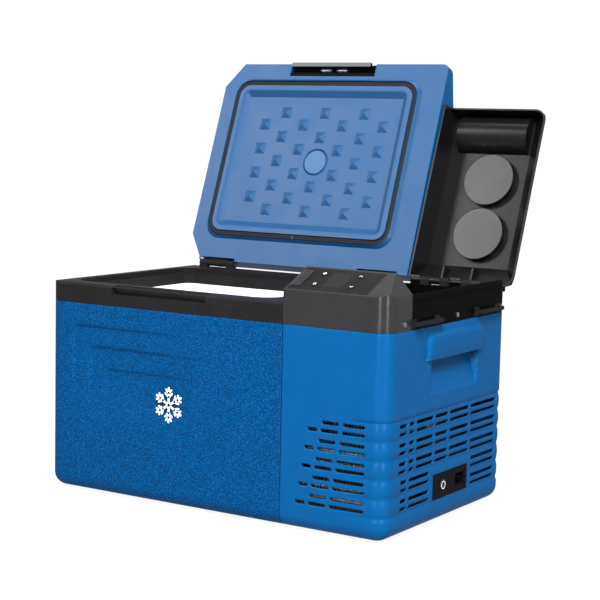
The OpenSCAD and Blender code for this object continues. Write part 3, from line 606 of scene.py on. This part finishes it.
def make_shell(name, wall, us, vs, lines, holes, relief, opening, material, node):
    """One blue shell. Its relief is a height out of the wall for each place on it."""
    bm = bmesh.new()
    grid = [(u, v) for u in us for v in vs if all(h.dist(u, v) > OUTLINE_GAP for h in holes)]
    loops = [(h.outline(), True) for h in holes] + lines
    spots, faces = triangles(grid, loops, lambda u, v: all(h.dist(u, v) > 0 for h in holes))
    verts = [bm.verts.new(wall.place(u, v, relief(u, v + LOW_Z))) for u, v in spots]
    add_faces(bm, verts, faces, wall.sign < 0)
    add_underside(bm, wall, us, opening)
    bmesh.ops.remove_doubles(bm, verts=bm.verts, dist=WELD * MM)
    drop_loose(bm)
    piece = finish_mesh(name, bm, "cabinet", material, (node,), degrees=40)
    thick = piece.modifiers.new("wall", "SOLIDIFY")
    thick.thickness = WALL_T * MM
    thick.offset = -1


# ---------- the carrying handles ----------

POCKET = (118.0, 258.0, 183.0, 233.0)    # y and z of the scoop
GRIP = (104.0, 266.0, 233.0, 269.0)      # y and z of the grip above it
POCKET_DEEP = 14.0
POCKET_SHALLOW = 0.9                     # the scoop's depth at its bottom
POCKET_CURVE = 1.15
POCKET_LEVEL = 7.0                       # the scoop is at its full depth this far below the lip
POCKET_EDGE = 3.2
POCKET_R = 8
GRIP_R = 15
GRIP_HIGH = 6.8
GRIP_ROLL = 11.0
GRIP_TUCK = 9.0                          # the grip thins towards the lip over this height
PAST_LIP = 14                            # both outlines run on past the lip


class Handle:
    """The carrying handle in an end wall: a scoop below a bulging grip."""

    def __init__(self, wall):
        y0, y1, z0, z1 = POCKET
        self.scoop = Patch(wall.u_side(y0), wall.u_side(y1), z0, z1 + PAST_LIP, POCKET_R)
        y0, y1, z0, z1 = GRIP
        self.grip = Patch(wall.u_side(y0), wall.u_side(y1), z0 - PAST_LIP, z1, GRIP_R)
        self.lip = POCKET[3]

    def relief(self, u, z):
        if z > self.lip - 0.35:
            d = -self.grip.dist(u, z)
            if d <= 0:
                return 0.0
            t = min(d / GRIP_ROLL, 1.0)
            tuck = 1 - 0.25 * smooth((self.lip + GRIP_TUCK - z) / GRIP_TUCK)
            return GRIP_HIGH * math.sqrt(1 - (1 - t) ** 2) * tuck
        d = -self.scoop.dist(u, z)
        if d <= 0:
            return 0.0
        slope = (z - POCKET[2]) / (self.lip - POCKET_LEVEL - POCKET[2])
        deep = POCKET_SHALLOW + (POCKET_DEEP - POCKET_SHALLOW) * min(max(slope, 0), 1) ** POCKET_CURVE
        return -deep * smooth(d / POCKET_EDGE)

    def lines(self):
        """Mesh lines along the lip and around the scoop and the grip."""
        across = spread(self.grip.x0 - 1, self.grip.x1 + 1, 3)
        rows = [[(u, z) for u in across] for z in (self.lip, self.lip - 0.7)]
        for g in (0.05, POCKET_EDGE / 2, POCKET_EDGE):
            rows.append([p for p in self.scoop.outline(-g, 6, 3.0) if p[1] < self.lip - 0.9])
        for g in (0.05, 4, 8):
            rows.append([p for p in self.grip.outline(-g, 6, 3.0) if p[1] > self.lip + 0.2])
        return [([(u, z - LOW_Z) for u, z in from_gap(row)], False) for row in rows]


def from_gap(points):
    """Starts an open outline after its widest gap, so that it runs from one end to the other."""
    n = len(points)
    gaps = [math.dist(points[i], points[(i + 1) % n]) for i in range(n)]
    i = gaps.index(max(gaps)) + 1
    return points[i:] + points[:i]


# ---------- the smooth shell around the machine bay ----------

MACHINE_SEAM = 123.8
POWER = (134.0, 234.0, 37.0, 72.0)       # y and z of the power panel
SERVICE_OPENING = Patch(140, 230, 26, BODY_D - 26, 4)
VENT_T = 5.0
VENT_ROWS = 5
VENT_PITCH = 25.1
VENT_DROP = 10.9                         # the second slot of each pair is this much lower
VENT_LEAN = 4.3                          # each pair on the front starts further left
FRONT_VENT_Z = 151
FRONT_END = 254                          # the outer end of the front's slots
FRONT_UPPER = ((188, 214), (220, FRONT_END))
FRONT_LOWER = ((166, 181), (186, 213), (219, FRONT_END))
SIDE_VENT_Z = 150
SIDE_LONG = ((38, 57), (64, 78), (84, 131), (137, 173), (179, 236), (242, 319))
SIDE_SHORT = ((43, 60), (66, 122), (246, 318))
SIDE_LONG_ROWS = 3
BACK_VENTS = ((148, 214, 26, 11, 3), (176, 204, 62, 14, 4))  # x from and to, lowest z, pitch, count
VENTS_TOP_V = 142                        # the mesh is finer below this
WAVE_TOP = 164.0
WAVE_START = 160.5
WAVE_LOW = 30.0
WAVE_DEEP = 1.9
WAVE_SHAPE = 2.2
WAVE_FADE = 34                           # the waves fade out over this width on the front and back
WAVE_END_X = 214


def machine_slots(wall):
    slots = []

    def add(u0, u1, z):
        slots.append(Patch(min(u0, u1), max(u0, u1), z - LOW_Z, z - LOW_Z + VENT_T, VENT_T / 2 - 0.05))

    def add_front(ends, lean, z):
        for x0, x1 in ends:
            add(wall.u_front(x0 - lean), wall.u_front(x1 if x1 == FRONT_END else x1 - lean), z)

    for k in range(VENT_ROWS):
        z, lean = FRONT_VENT_Z - k * VENT_PITCH, VENT_LEAN * k
        add_front(FRONT_UPPER, lean, z)
        add_front(FRONT_LOWER, lean, z - VENT_DROP)
        for drop in (0, VENT_DROP):
            for y0, y1 in SIDE_LONG if k < SIDE_LONG_ROWS else SIDE_SHORT:
                add(wall.u_side(y0), wall.u_side(y1), SIDE_VENT_Z - k * VENT_PITCH - drop)
    for x0, x1, z, pitch, count in BACK_VENTS:
        for k in range(count):
            add(wall.u_back(x0), wall.u_back(x1), z + pitch * k)
    return slots


def make_machine_shell():
    wall = Wall(MACHINE_SEAM, 1)
    handle = Handle(wall)
    y0, y1, z0, z1 = POWER
    panel = Patch(wall.u_side(y0), wall.u_side(y1), z0 - LOW_Z, z1 - LOW_Z, 1.5)

    def waves(u, z):
        """Shallow cushions between the rows of slots."""
        if z > WAVE_TOP or z < WAVE_LOW:
            return 0.0
        part = ((WAVE_START - z) / VENT_PITCH) % 1.0
        height = -WAVE_DEEP * abs(2 * part - 1) ** WAVE_SHAPE
        if z > WAVE_START:
            height = -WAVE_DEEP * smooth((WAVE_TOP - z) / (WAVE_TOP - WAVE_START))
        if z < WAVE_LOW + 5:
            height = -WAVE_DEEP * smooth((z - WAVE_LOW) / 5)
        front = smooth((u - wall.u_front(WAVE_END_X)) / WAVE_FADE)
        back = smooth((wall.u_back(WAVE_END_X) - u) / WAVE_FADE)
        around = smooth((panel.dist(u, z - LOW_Z) - 1) / 9)
        return height * front * back * around

    def relief(u, z):
        return waves(u, z) + handle.relief(u, z) + wall.edge_roll(u, z)

    us = wall.columns(3.4, 1.7, 3.4, 3.4)
    top = TOP_V - JOINT_REACH
    vs = joined(
        spread(-LOW_ARC, 0, 2.6), spread(0, VENTS_TOP_V, 2.1), spread(VENTS_TOP_V, top, 4.2),
        spread(top, TOP_V, 0.4))
    make_shell("machine_skin", wall, us, vs, handle.lines(), machine_slots(wall) + [panel], relief,
               SERVICE_OPENING, "smooth_blue", "machine_housing")


# ---------- the textured shell around the tub ----------

TUB_SEAM = 123.2
STEPS = (((-243, 248), (12, 96)), ((-214, 219), (58, 108)), ((-185, 188), (10, 112)))
STEP_DEEP = (2.7, 2.7, 2.3)
STEP_RAMP = 5.4
STEP_WIDE = 1.6          # an upright ramp is this much wider than a level one
STEP_R = 10
STEP_HOLD_X = 90         # each step keeps its depth this far along the front
STEP_HOLD_Z = 40
FAR = 900


def step_frame(z0):
    return Patch(0, FAR, z0 - FAR, z0, STEP_R)


def step_lines(wall):
    """Mesh lines along each step's level ramp, its corner and its upright ramp."""
    lines = []
    for (x0, z0), (x1, z1) in STEPS:
        for g in (0.1, 1.1, 2.2, 3.3, 4.4, STEP_RAMP):
            around = step_frame(z0).outline(-g, 6)
            arc = [(x0 + STEP_WIDE * a, b) for a, b in around if a < STEP_R + 4 and b > z0 - STEP_R - 4]
            across = [(x, z0 - g) for x in spread(x0 + (STEP_R + 1) * STEP_WIDE, x1, 6)]
            down = [(x0 + STEP_WIDE * g, z) for z in spread(z1, z0 - STEP_R - 1, 6)]
            run = []
            for p in across[::-1] + arc + down[::-1]:
                if not run or math.dist(p, run[-1]) > 0.5:
                    run.append(p)
            lines.append(([(wall.seam - x, z - LOW_Z) for x, z in run], False))
    return lines


def make_tub_shell():
    wall = Wall(TUB_SEAM, -1)
    handle = Handle(wall)
    steps_to = wall.front - 4

    def steps(u, z):
        """The depth of the steps that a place on the front lies inside."""
        if u > steps_to:
            return 0.0
        x = wall.seam - u
        total = 0.0
        for ((x0, z0), (x1, z1)), deep in zip(STEPS, STEP_DEEP):
            d = -step_frame(z0).dist((x - x0) / STEP_WIDE, z)
            if d <= 0:
                continue
            along = 1 - smooth((x - x0 - STEP_HOLD_X) / (x1 - x0 - STEP_HOLD_X))
            below = 1 - smooth((z0 - z - STEP_HOLD_Z) / (z0 - z1 - STEP_HOLD_Z))
            total -= deep * smooth(d / STEP_RAMP) * (along * below)
        return total

    def relief(u, z):
        return steps(u, z) + handle.relief(u, z) + wall.edge_roll(u, z)

    us = wall.columns(5.5, 1.7, 4, 12)
    top = TOP_V - JOINT_REACH
    vs = joined(spread(-LOW_ARC, 0, 2.6), spread(0, top, 5), spread(top, TOP_V, 0.4))
    make_shell("tub_skin", wall, us, vs, handle.lines() + step_lines(wall), [], relief, None,
               "textured_blue", "tub_housing")


make_machine_shell()
make_tub_shell()


# ---------- the main lid's inner face ----------

LID = (-288.0, 122.5, 1.0, 340.0)
LID_Z = 307.5
PANEL = Patch(-242, 64, 49, 281, 10)
PANEL_FLOOR = 308.5
PANEL_RUN = 9.0          # the panel slopes down to its floor over this width
PLUG = Patch(-262, 84, 29, 301, 26)
PLUG_DROP = 6.0
PLUG_FOOT = 1.6          # the plug's slope starts this far outside its outline
PLUG_FACE = 2.7          # and ends this far inside it
PLUG_Z = LID_Z - PLUG_DROP
GROOVE_IN = 8.7          # the seal's groove, as distances from the panel
GROOVE_OUT = 17.3
GROOVE_WALL = 0.4
GROOVE_DEEP = 6.5
PANEL_EDGE = 0.4
PANEL_FLAT = 11          # the boss and the pyramids lie this far inside the panel
LIP = 0.5                # a small drop of the plug's face around the panel
LIP_WIDE = 1.2
BOSS = (-82.5, 167.0, 21.0)
BOSS_GROOVE = 1.7
BOSS_GROOVE_DEEP = 2.4
PYRAMID = 9.4
PYRAMID_H = 4.4
PITCH = (73.5, 20.6)
NOTCH = (-165.5, -6.5, 16.0)
HINGE_NOTCHES = ((36.0, 66.0), (-262.0, 66.0))
LID_SHEET_T = 3.0


def pyramid_places():
    cx, cy, _ = BOSS
    for row in range(-4, 5):
        count = 3 if row % 2 == 0 else 4
        for i in range(count):
            if row == 0 and i == 1:
                continue         # the boss takes this place
            yield cx + (i - (count - 1) / 2) * PITCH[0], cy + row * PITCH[1]


def lid_outline():
    x0, x1, y0, y1 = LID
    points = [(x0, y0 + 40), (x0 + 30, y0)]
    points += [(NOTCH[0], y0), (NOTCH[0], NOTCH[2]), (NOTCH[1], NOTCH[2]), (NOTCH[1], y0)]
    points += round_corner(x1 - 10, y0 + 10, 10, -90, 0)
    points += [(x1, y1)]
    for start, span in HINGE_NOTCHES:
        a, b = start + span + 2, start - 2
        points += [(a, y1), (a, y1 - 5), (b, y1 - 5), (b, y1)]
    points += [(x0 + 27, y1), (x0, y1 - 42)]
    return points


def lid_height(x, y, pyramids):
    """How high the closed lid's inner face is above the ground."""
    edge = PLUG.dist(x, y)
    z = LID_Z - PLUG_DROP * min(max((PLUG_FOOT - edge) / (PLUG_FOOT + PLUG_FACE), 0), 1)
    if edge >= 0:
        return z
    d = PANEL.dist(x, y)
    if GROOVE_IN < d < GROOVE_OUT:
        z += GROOVE_DEEP * min(min(d - GROOVE_IN, GROOVE_OUT - d) / GROOVE_WALL, 1.0)
    elif d < -PANEL_EDGE:
        z = PLUG_Z + (PANEL_FLOOR - PLUG_Z) * min((-d - PANEL_EDGE) / PANEL_RUN, 1.0)
    elif d < LIP_WIDE:
        z += LIP * smooth((LIP_WIDE - d) / (LIP_WIDE + PANEL_EDGE))
    if d < -PANEL_FLAT:
        bx, by, br = BOSS
        r = math.hypot(x - bx, y - by)
        if r < br + BOSS_GROOVE:
            return z + BOSS_GROOVE_DEEP * max(1 - abs(r - br) / BOSS_GROOVE, 0)
        for px, py in pyramids:
            away = max(abs(x - px), abs(y - py))
            if away < PYRAMID:
                return z - PYRAMID_H * (1 - away / PYRAMID)
    return z


def lid_lines(outline, pyramids):
    """Mesh lines along every edge of the lid's inner face."""
    bx, by, br = BOSS
    lines = [(split_runs(outline, 14), True)]
    for g in (PLUG_FOOT, 0.0):
        lines.append((PLUG.outline(g, 8, 14), True))
    grooves = (GROOVE_OUT, GROOVE_OUT - GROOVE_WALL, GROOVE_IN + GROOVE_WALL, GROOVE_IN)
    for g in grooves + (LIP_WIDE, PANEL_EDGE, -PANEL_EDGE, -PANEL_EDGE - PANEL_RUN):
        lines.append((PANEL.grown(g).outline(0, 8, 14), True))
    for r in (br + BOSS_GROOVE, br, br - BOSS_GROOVE, br * 0.4):
        lines.append((circle(bx, by, r, 48), True))
    w = PYRAMID
    for px, py in pyramids:
        lines.append(([(px - w, py - w), (px + w, py - w), (px + w, py + w), (px - w, py + w)], True))
        lines.append(([(px - w, py - w), (px, py), (px + w, py + w)], False))
        lines.append(([(px - w, py + w), (px, py), (px + w, py - w)], False))
    return lines


def lid_points(pyramids):
    """A loose grid between the boss and the pyramids."""
    bx, by, br = BOSS
    points = [(bx, by)]
    for x in spread(PANEL.x0 + 14, PANEL.x1 - 14, 13):
        for y in spread(PANEL.y0 + 14, PANEL.y1 - 14, 13):
            clear = all(max(abs(x - px), abs(y - py)) > PYRAMID + 1 for px, py in pyramids)
            if clear and math.hypot(x - bx, y - by) > br + 4:
                points.append((x, y))
    return points


def make_lid_inner():
    outline = lid_outline()
    pyramids = list(pyramid_places())
    spots, faces = triangles(
        lid_points(pyramids), lid_lines(outline, pyramids), lambda x, y: inside(outline, x, y))
    bm = bmesh.new()
    verts = [bm.verts.new(on_lid(x, y, lid_height(x, y, pyramids))) for x, y in spots]
    add_faces(bm, verts, faces, True)
    # The sheet's own thickness along its outer edge
    rim_edges = [e for e in bm.edges if e.is_boundary]
    made = bmesh.ops.extrude_edge_only(bm, edges=rim_edges)["geom"]
    up = on_lid(0, 0, LID_SHEET_T) - on_lid(0, 0, 0)
    for v in made:
        if isinstance(v, bmesh.types.BMVert):
            v.co += up
    drop_loose(bm)
    finish_mesh("lid_inner", bm, "main_lid", "lid_blue", ("lid_liner",), degrees=21)


make_lid_inner()

SEAL_Z = PLUG_Z + 3.2
SEAL_TIP = 1.6
# Across the seal: a flat back, and two ribs with a groove between them
SEAL_SHAPE = (
    (-3.6, 3.2), (3.6, 3.2), (3.7, -0.1), (3.1, -1.2), (1.6, -SEAL_TIP), (0.7, -1.3),
    (0.0, -0.9), (-0.7, -1.3), (-1.6, -SEAL_TIP), (-3.1, -1.2), (-3.7, -0.1),
)


def make_gasket():
    middle = PANEL.grown((GROOVE_IN + GROOVE_OUT) / 2).outline(0, 10, 9)
    shape = [(out, SEAL_Z + up) for out, up in SEAL_SHAPE]
    swept_ring("lid_seal", middle, shape, on_lid, "main_lid", "gasket", ("lid_gasket",))


make_gasket()


# ---------- pieces carried over from CAD ----------

REPLACED = {"tub_housing", "machine_housing", "lid_liner", "lid_gasket"}
SLOT_OF = {row["node"]: row["material_slot"] for row in frame["record"]["subparts"]}
# Width and segments of each node's softened edges
BEVELS = {
    "lid_shell": (2.2, 3), "tub_rim": (1.3, 3), "deck_frame": (1.2, 3), "console_cover": (1.6, 3),
    "control_fascia": (0.25, 2), "latch_handle": (0.5, 2), "tray_lid": (0.8, 3), "inner_liner": (0.5, 2),
    "hinge_brackets": (0.6, 2), "lid_hinge_leaves": (0.6, 2), "tray_hinge_leaves": (0.6, 2),
    "power_panel": (0.25, 2), "fuse_cap": (0.3, 2), "dc_socket": (0.3, 2), "usb_cover": (0.35, 2),
    "power_button": (0.4, 2), "set_button": (0.4, 2), "up_button": (0.4, 2), "down_button": (0.4, 2),
    "feet": (0.8, 2), "rim_screws": (0.4, 2), "strap_loops": (0.4, 2), "hinge_screws": (0.4, 2),
    "compressor_bolts": (0.4, 2), "display_window": (0.1, 1),
}
for node, piece in frame["nodes"].items():
    if node in REPLACED:
        continue
    dress(piece, NODE_MATERIAL.get(node, SLOT_OF[node]))
    if node in BEVELS:
        bevel(piece, *BEVELS[node])


# ---------- signs on the keys and the front ----------

KEY_TOP = 0.68           # the signs lie this far above the console's slope
# Each key's sign, with its place on the slope and its strokes
KEY_SIGNS = {
    "power_key": ("power_icon", 161, 20, [
        arc_stroke(0, 0, 2.2, 0.7, 125, 415), bar((0, 0.6), (0, 2.9), 0.7)]),
    "set_key": ("set_icon", 161, 48, [
        arc_stroke(0, 0, 2.2, 0.7, 0, 359.9, 24), arc_stroke(0, 0, 0.5, 0.9, 0, 359.9, 12)]),
    "up_key": ("up_icon", 217, 48, [
        bar((-2.2, -0.9), (0, 1.3), 0.8), bar((0, 1.3), (2.2, -0.9), 0.8)]),
    "down_key": ("down_icon", 217, 20, [
        bar((-2.2, 0.9), (0, -1.3), 0.8), bar((0, -1.3), (2.2, 0.9), 0.8)]),
}
SNOW_AT = (-64, 147)
SNOW_R = 24
SNOW_STROKE = 3.4
SNOW_BARBS = ((0.45, 0.24), (0.7, 0.2))   # where each pair starts along its ray, and its size


def make_key_signs():
    for body, (name, kx, kv, shapes) in KEY_SIGNS.items():
        moved = [[(x + kx, y + kv) for x, y in shape] for shape in shapes]
        flat_marks(name, moved, on_slope, KEY_TOP, body, "white_print")


def snowflake(cx, cy, r, width):
    shapes = []
    for k in range(6):
        a = math.radians(90 + 60 * k)
        ray = (math.cos(a), math.sin(a))
        side = (-ray[1], ray[0])

        def spot(along, across):
            return cx + ray[0] * along + side[0] * across, cy + ray[1] * along + side[1] * across

        shapes.append(bar(spot(0.03 * r, 0), spot(r, 0), width))
        for reach, size in SNOW_BARBS:
            for way in (-1, 1):
                tip = spot((reach + size) * r, way * size * r)
                shapes.append(bar(spot(reach * r, 0), tip, width * 0.8))
    return shapes


def make_snow_mark():
    flat_marks("snow_mark", snowflake(*SNOW_AT, SNOW_R, SNOW_STROKE), lambda x, z, up: at(x, -up, z), 0.3,
               "cabinet", "white_print")


# ---------- small details ----------

SEAL_JOINT_X = -91
# Painted highlight: the pale plate on the latch's face
LATCH_HIGHLIGHT = Patch(-160, -12, 1.8, 8.2, 0.6)
LATCH_HIGHLIGHT_Z = 299
# Painted shade: a dark strip on the lid beside the latch
LATCH_SHADE = Patch(NOTCH[0], NOTCH[1], 15.6, 21.6, 0.3)
# Painted shade: dark bands behind the joint between the blue shells
JOINT_SHADE = Patch(120.5, 126.5, 24, 277.9, 0.3)
JOINT_SHADE_IN = 4.2
FUSE_AT = (161, 54.5)
FUSE_RING_R = 5.1
FUSE_TOP = 1.8
WELL_X = 205
WELL_Y = (256.0, 170.0)
WELL_R = 40.1
WELL_FLOOR = 345.5
WELL_BEAD = 0.55
THIN = 0.12


def make_seal_joint():
    """Where the two ends of the seal meet, on the hinge side."""
    joint = bar((SEAL_JOINT_X, PANEL.y1 + 9.9), (SEAL_JOINT_X, PANEL.y1 + 16.1), 1.1)
    flat_marks("seal_joint", [joint], lambda x, y, up: on_lid(x, y, SEAL_Z - SEAL_TIP - up), 0.1,
               "main_lid", "grey_and_painted_highlight")


def make_latch_highlight():
    """A painted highlight: a pale plate on the black latch's face, standing in for the light on its bar."""
    face = [LATCH_HIGHLIGHT.outline()]
    flat_marks("latch_highlight", face, lambda x, y, up: on_lid(x, y, LATCH_HIGHLIGHT_Z - up), 0.1,
               "latch", "grey_and_painted_highlight")


def make_joint_shade():
    """Dark bands just inside the joint between the blue shells: painted shade for the dark hollow behind the
    joint.
    """
    band = [JOINT_SHADE.outline()]
    flat_marks("joint_shade_front", band, lambda x, z, up: at(x, JOINT_SHADE_IN - up, z), 0.1,
               "cabinet", "deck_black_and_painted_shade")
    flat_marks("joint_shade_back", band, lambda x, z, up: at(x, BODY_D - JOINT_SHADE_IN + up, z), 0.1,
               "cabinet", "deck_black_and_painted_shade")


def make_latch_shade():
    """A dark strip of the lid beside the latch: painted shade where the latch shades the lid."""
    strip = [LATCH_SHADE.outline()]
    flat_marks("latch_shade", strip, lambda x, y, up: on_lid(x, y, LID_Z - up), THIN,
               "main_lid", "deck_black_and_painted_shade")


def make_lid_disc():
    """The boss's smoother face, with a lighter base colour as a painted sheen."""
    bx, by, br = BOSS
    disc = circle(bx, by, br - BOSS_GROOVE - 0.4, 72)
    flat_marks("lid_disc", [disc], lambda x, y, up: on_lid(x, y, PANEL_FLOOR - up), THIN,
               "main_lid", "lid_gloss_and_painted_sheen")


def make_fuse_ring():
    ring = arc_stroke(*FUSE_AT, FUSE_RING_R, 1.0, 0, 359.9, 28)
    flat_marks("fuse_ring", [ring], lambda y, z, up: at(HALF_L + FUSE_TOP + up, y, z), THIN,
               "fuse_plug", "white_print")


def make_wells():
    """The rounded edge and the smoother floor of each cup well, seen from the tray lid's underside; the
    floor's lighter base colour is a painted reflection.
    """
    bead = [(x, WELL_FLOOR + z) for x, z in circle(0, 0, WELL_BEAD, 8)]
    for k, y in enumerate(WELL_Y):
        swept_ring(f"well_rim_{k + 1}", circle(WELL_X, y, WELL_R, 72), bead, on_tray,
                   "tray_lid", "tray_black")
        disc = circle(WELL_X, y, WELL_R - 0.5, 72)
        flat_marks(f"well_floor_{k + 1}", [disc], lambda x, v, up: on_tray(x, v, WELL_FLOOR - up), THIN,
                   "tray_lid", "tray_disc_and_painted_reflection")


make_key_signs()
make_snow_mark()
make_seal_joint()
make_latch_highlight()
make_joint_shade()
make_latch_shade()
make_lid_disc()
make_fuse_ring()
make_wells()


# ---------- stage and light, in metres ----------

FLOOR_FRONT = -3.5
FLOOR_BACK = 1.9
FLOOR_CURVE = 1.2
FLOOR_TOP = 4.5
FLOOR_HALF = 7
FLOOR_GLOW = 0.93
WORLD_LIGHT = 0.3
MIDDLE = (0, 0, 0.3)
LID_MIDDLE = (-0.1, 0.1, 0.5)
CORNER = (0, 0, 0.45)


def make_stage():
    """A white floor that curves up behind the cooler, square to the camera."""
    bm = bmesh.new()
    curve = [math.radians(a) for a in range(5, 91, 5)]
    profile = [(FLOOR_FRONT, 0.0), (FLOOR_BACK, 0.0)]
    profile += [(FLOOR_BACK + FLOOR_CURVE * math.sin(a), FLOOR_CURVE * (1 - math.cos(a))) for a in curve]
    profile += [(FLOOR_BACK + FLOOR_CURVE, FLOOR_TOP)]
    turn = Matrix.Rotation(math.radians(CAMERA_YAW), 3, "Z")
    rows = [[bm.verts.new(turn @ Vector((x, y, z))) for y, z in profile] for x in (-FLOOR_HALF, FLOOR_HALF)]
    for i in range(len(profile) - 1):
        bm.faces.new((rows[0][i], rows[1][i], rows[1][i + 1], rows[0][i + 1]))
    for face in bm.faces:
        face.smooth = True
    mesh = bpy.data.meshes.new("floor")
    bm.to_mesh(mesh)
    bm.free()
    floor = bpy.data.objects.new("floor", mesh)
    bpy.context.collection.objects.link(floor)
    paper = plastic("floor_paper", (0.07, 0.07, 0.07), rough=0.8, grain=300.0, depth=0.02, grain_mm=0.05,
                    mottle=0.004, specular=0.1)
    glow = paper.node_tree.nodes["Principled BSDF"]
    glow.inputs["Emission Color"].default_value = (1, 1, 1, 1)
    glow.inputs["Emission Strength"].default_value = FLOOR_GLOW
    mesh.materials.append(paper)
    floor.visible_glossy = False


def area_light(name, place, target, size, power, diffuse=True, glossy=True):
    """A soft light. It can be left out of diffuse light or of reflections."""
    data = bpy.data.lights.new(name, "AREA")
    data.shape = "RECTANGLE"
    data.size, data.size_y = size
    data.energy = power
    light = bpy.data.objects.new(name, data)
    light.location = place
    light.rotation_mode = "QUATERNION"
    light.rotation_quaternion = (Vector(target) - Vector(place)).to_track_quat("-Z", "Y")
    light.visible_diffuse = diffuse
    light.visible_glossy = glossy
    bpy.context.collection.objects.link(light)


def make_light():
    world = bpy.data.worlds.new("studio")
    world.use_nodes = True
    back = world.node_tree.nodes["Background"]
    back.inputs["Color"].default_value = (1, 1, 1, 1)
    back.inputs["Strength"].default_value = WORLD_LIGHT
    scene = bpy.context.scene
    scene.world = world
    scene.view_settings.view_transform = "Standard"
    scene.view_settings.look = "None"
    area_light("key", (1.5, -2.3, 2.3), MIDDLE, (1.2, 1.2), 262, glossy=False)
    area_light("sheen", (-1.75, -1.87, 2.05), LID_MIDDLE, (1.3, 1.3), 29, diffuse=False)
    area_light("edge", (1.4, -1.85, 2.1), LID_MIDDLE, (1.3, 1.3), 22, diffuse=False)
    area_light("left", (-2.8, -0.6, 1.4), MIDDLE, (1.2, 1.8), 12)
    area_light("right", (2.8, -0.7, 1.6), MIDDLE, (1.2, 1.8), 12)
    area_light("above", (0, 0.5, 3.0), MIDDLE, (2.2, 2.2), 40)
    area_light("strip_right", (2.5, -1.3, 0.9), CORNER, (0.3, 1.7), 26, diffuse=False)
    area_light("strip_front", (0.8, -2.8, 0.9), CORNER, (0.3, 1.7), 26, diffuse=False)


make_stage()
make_light()
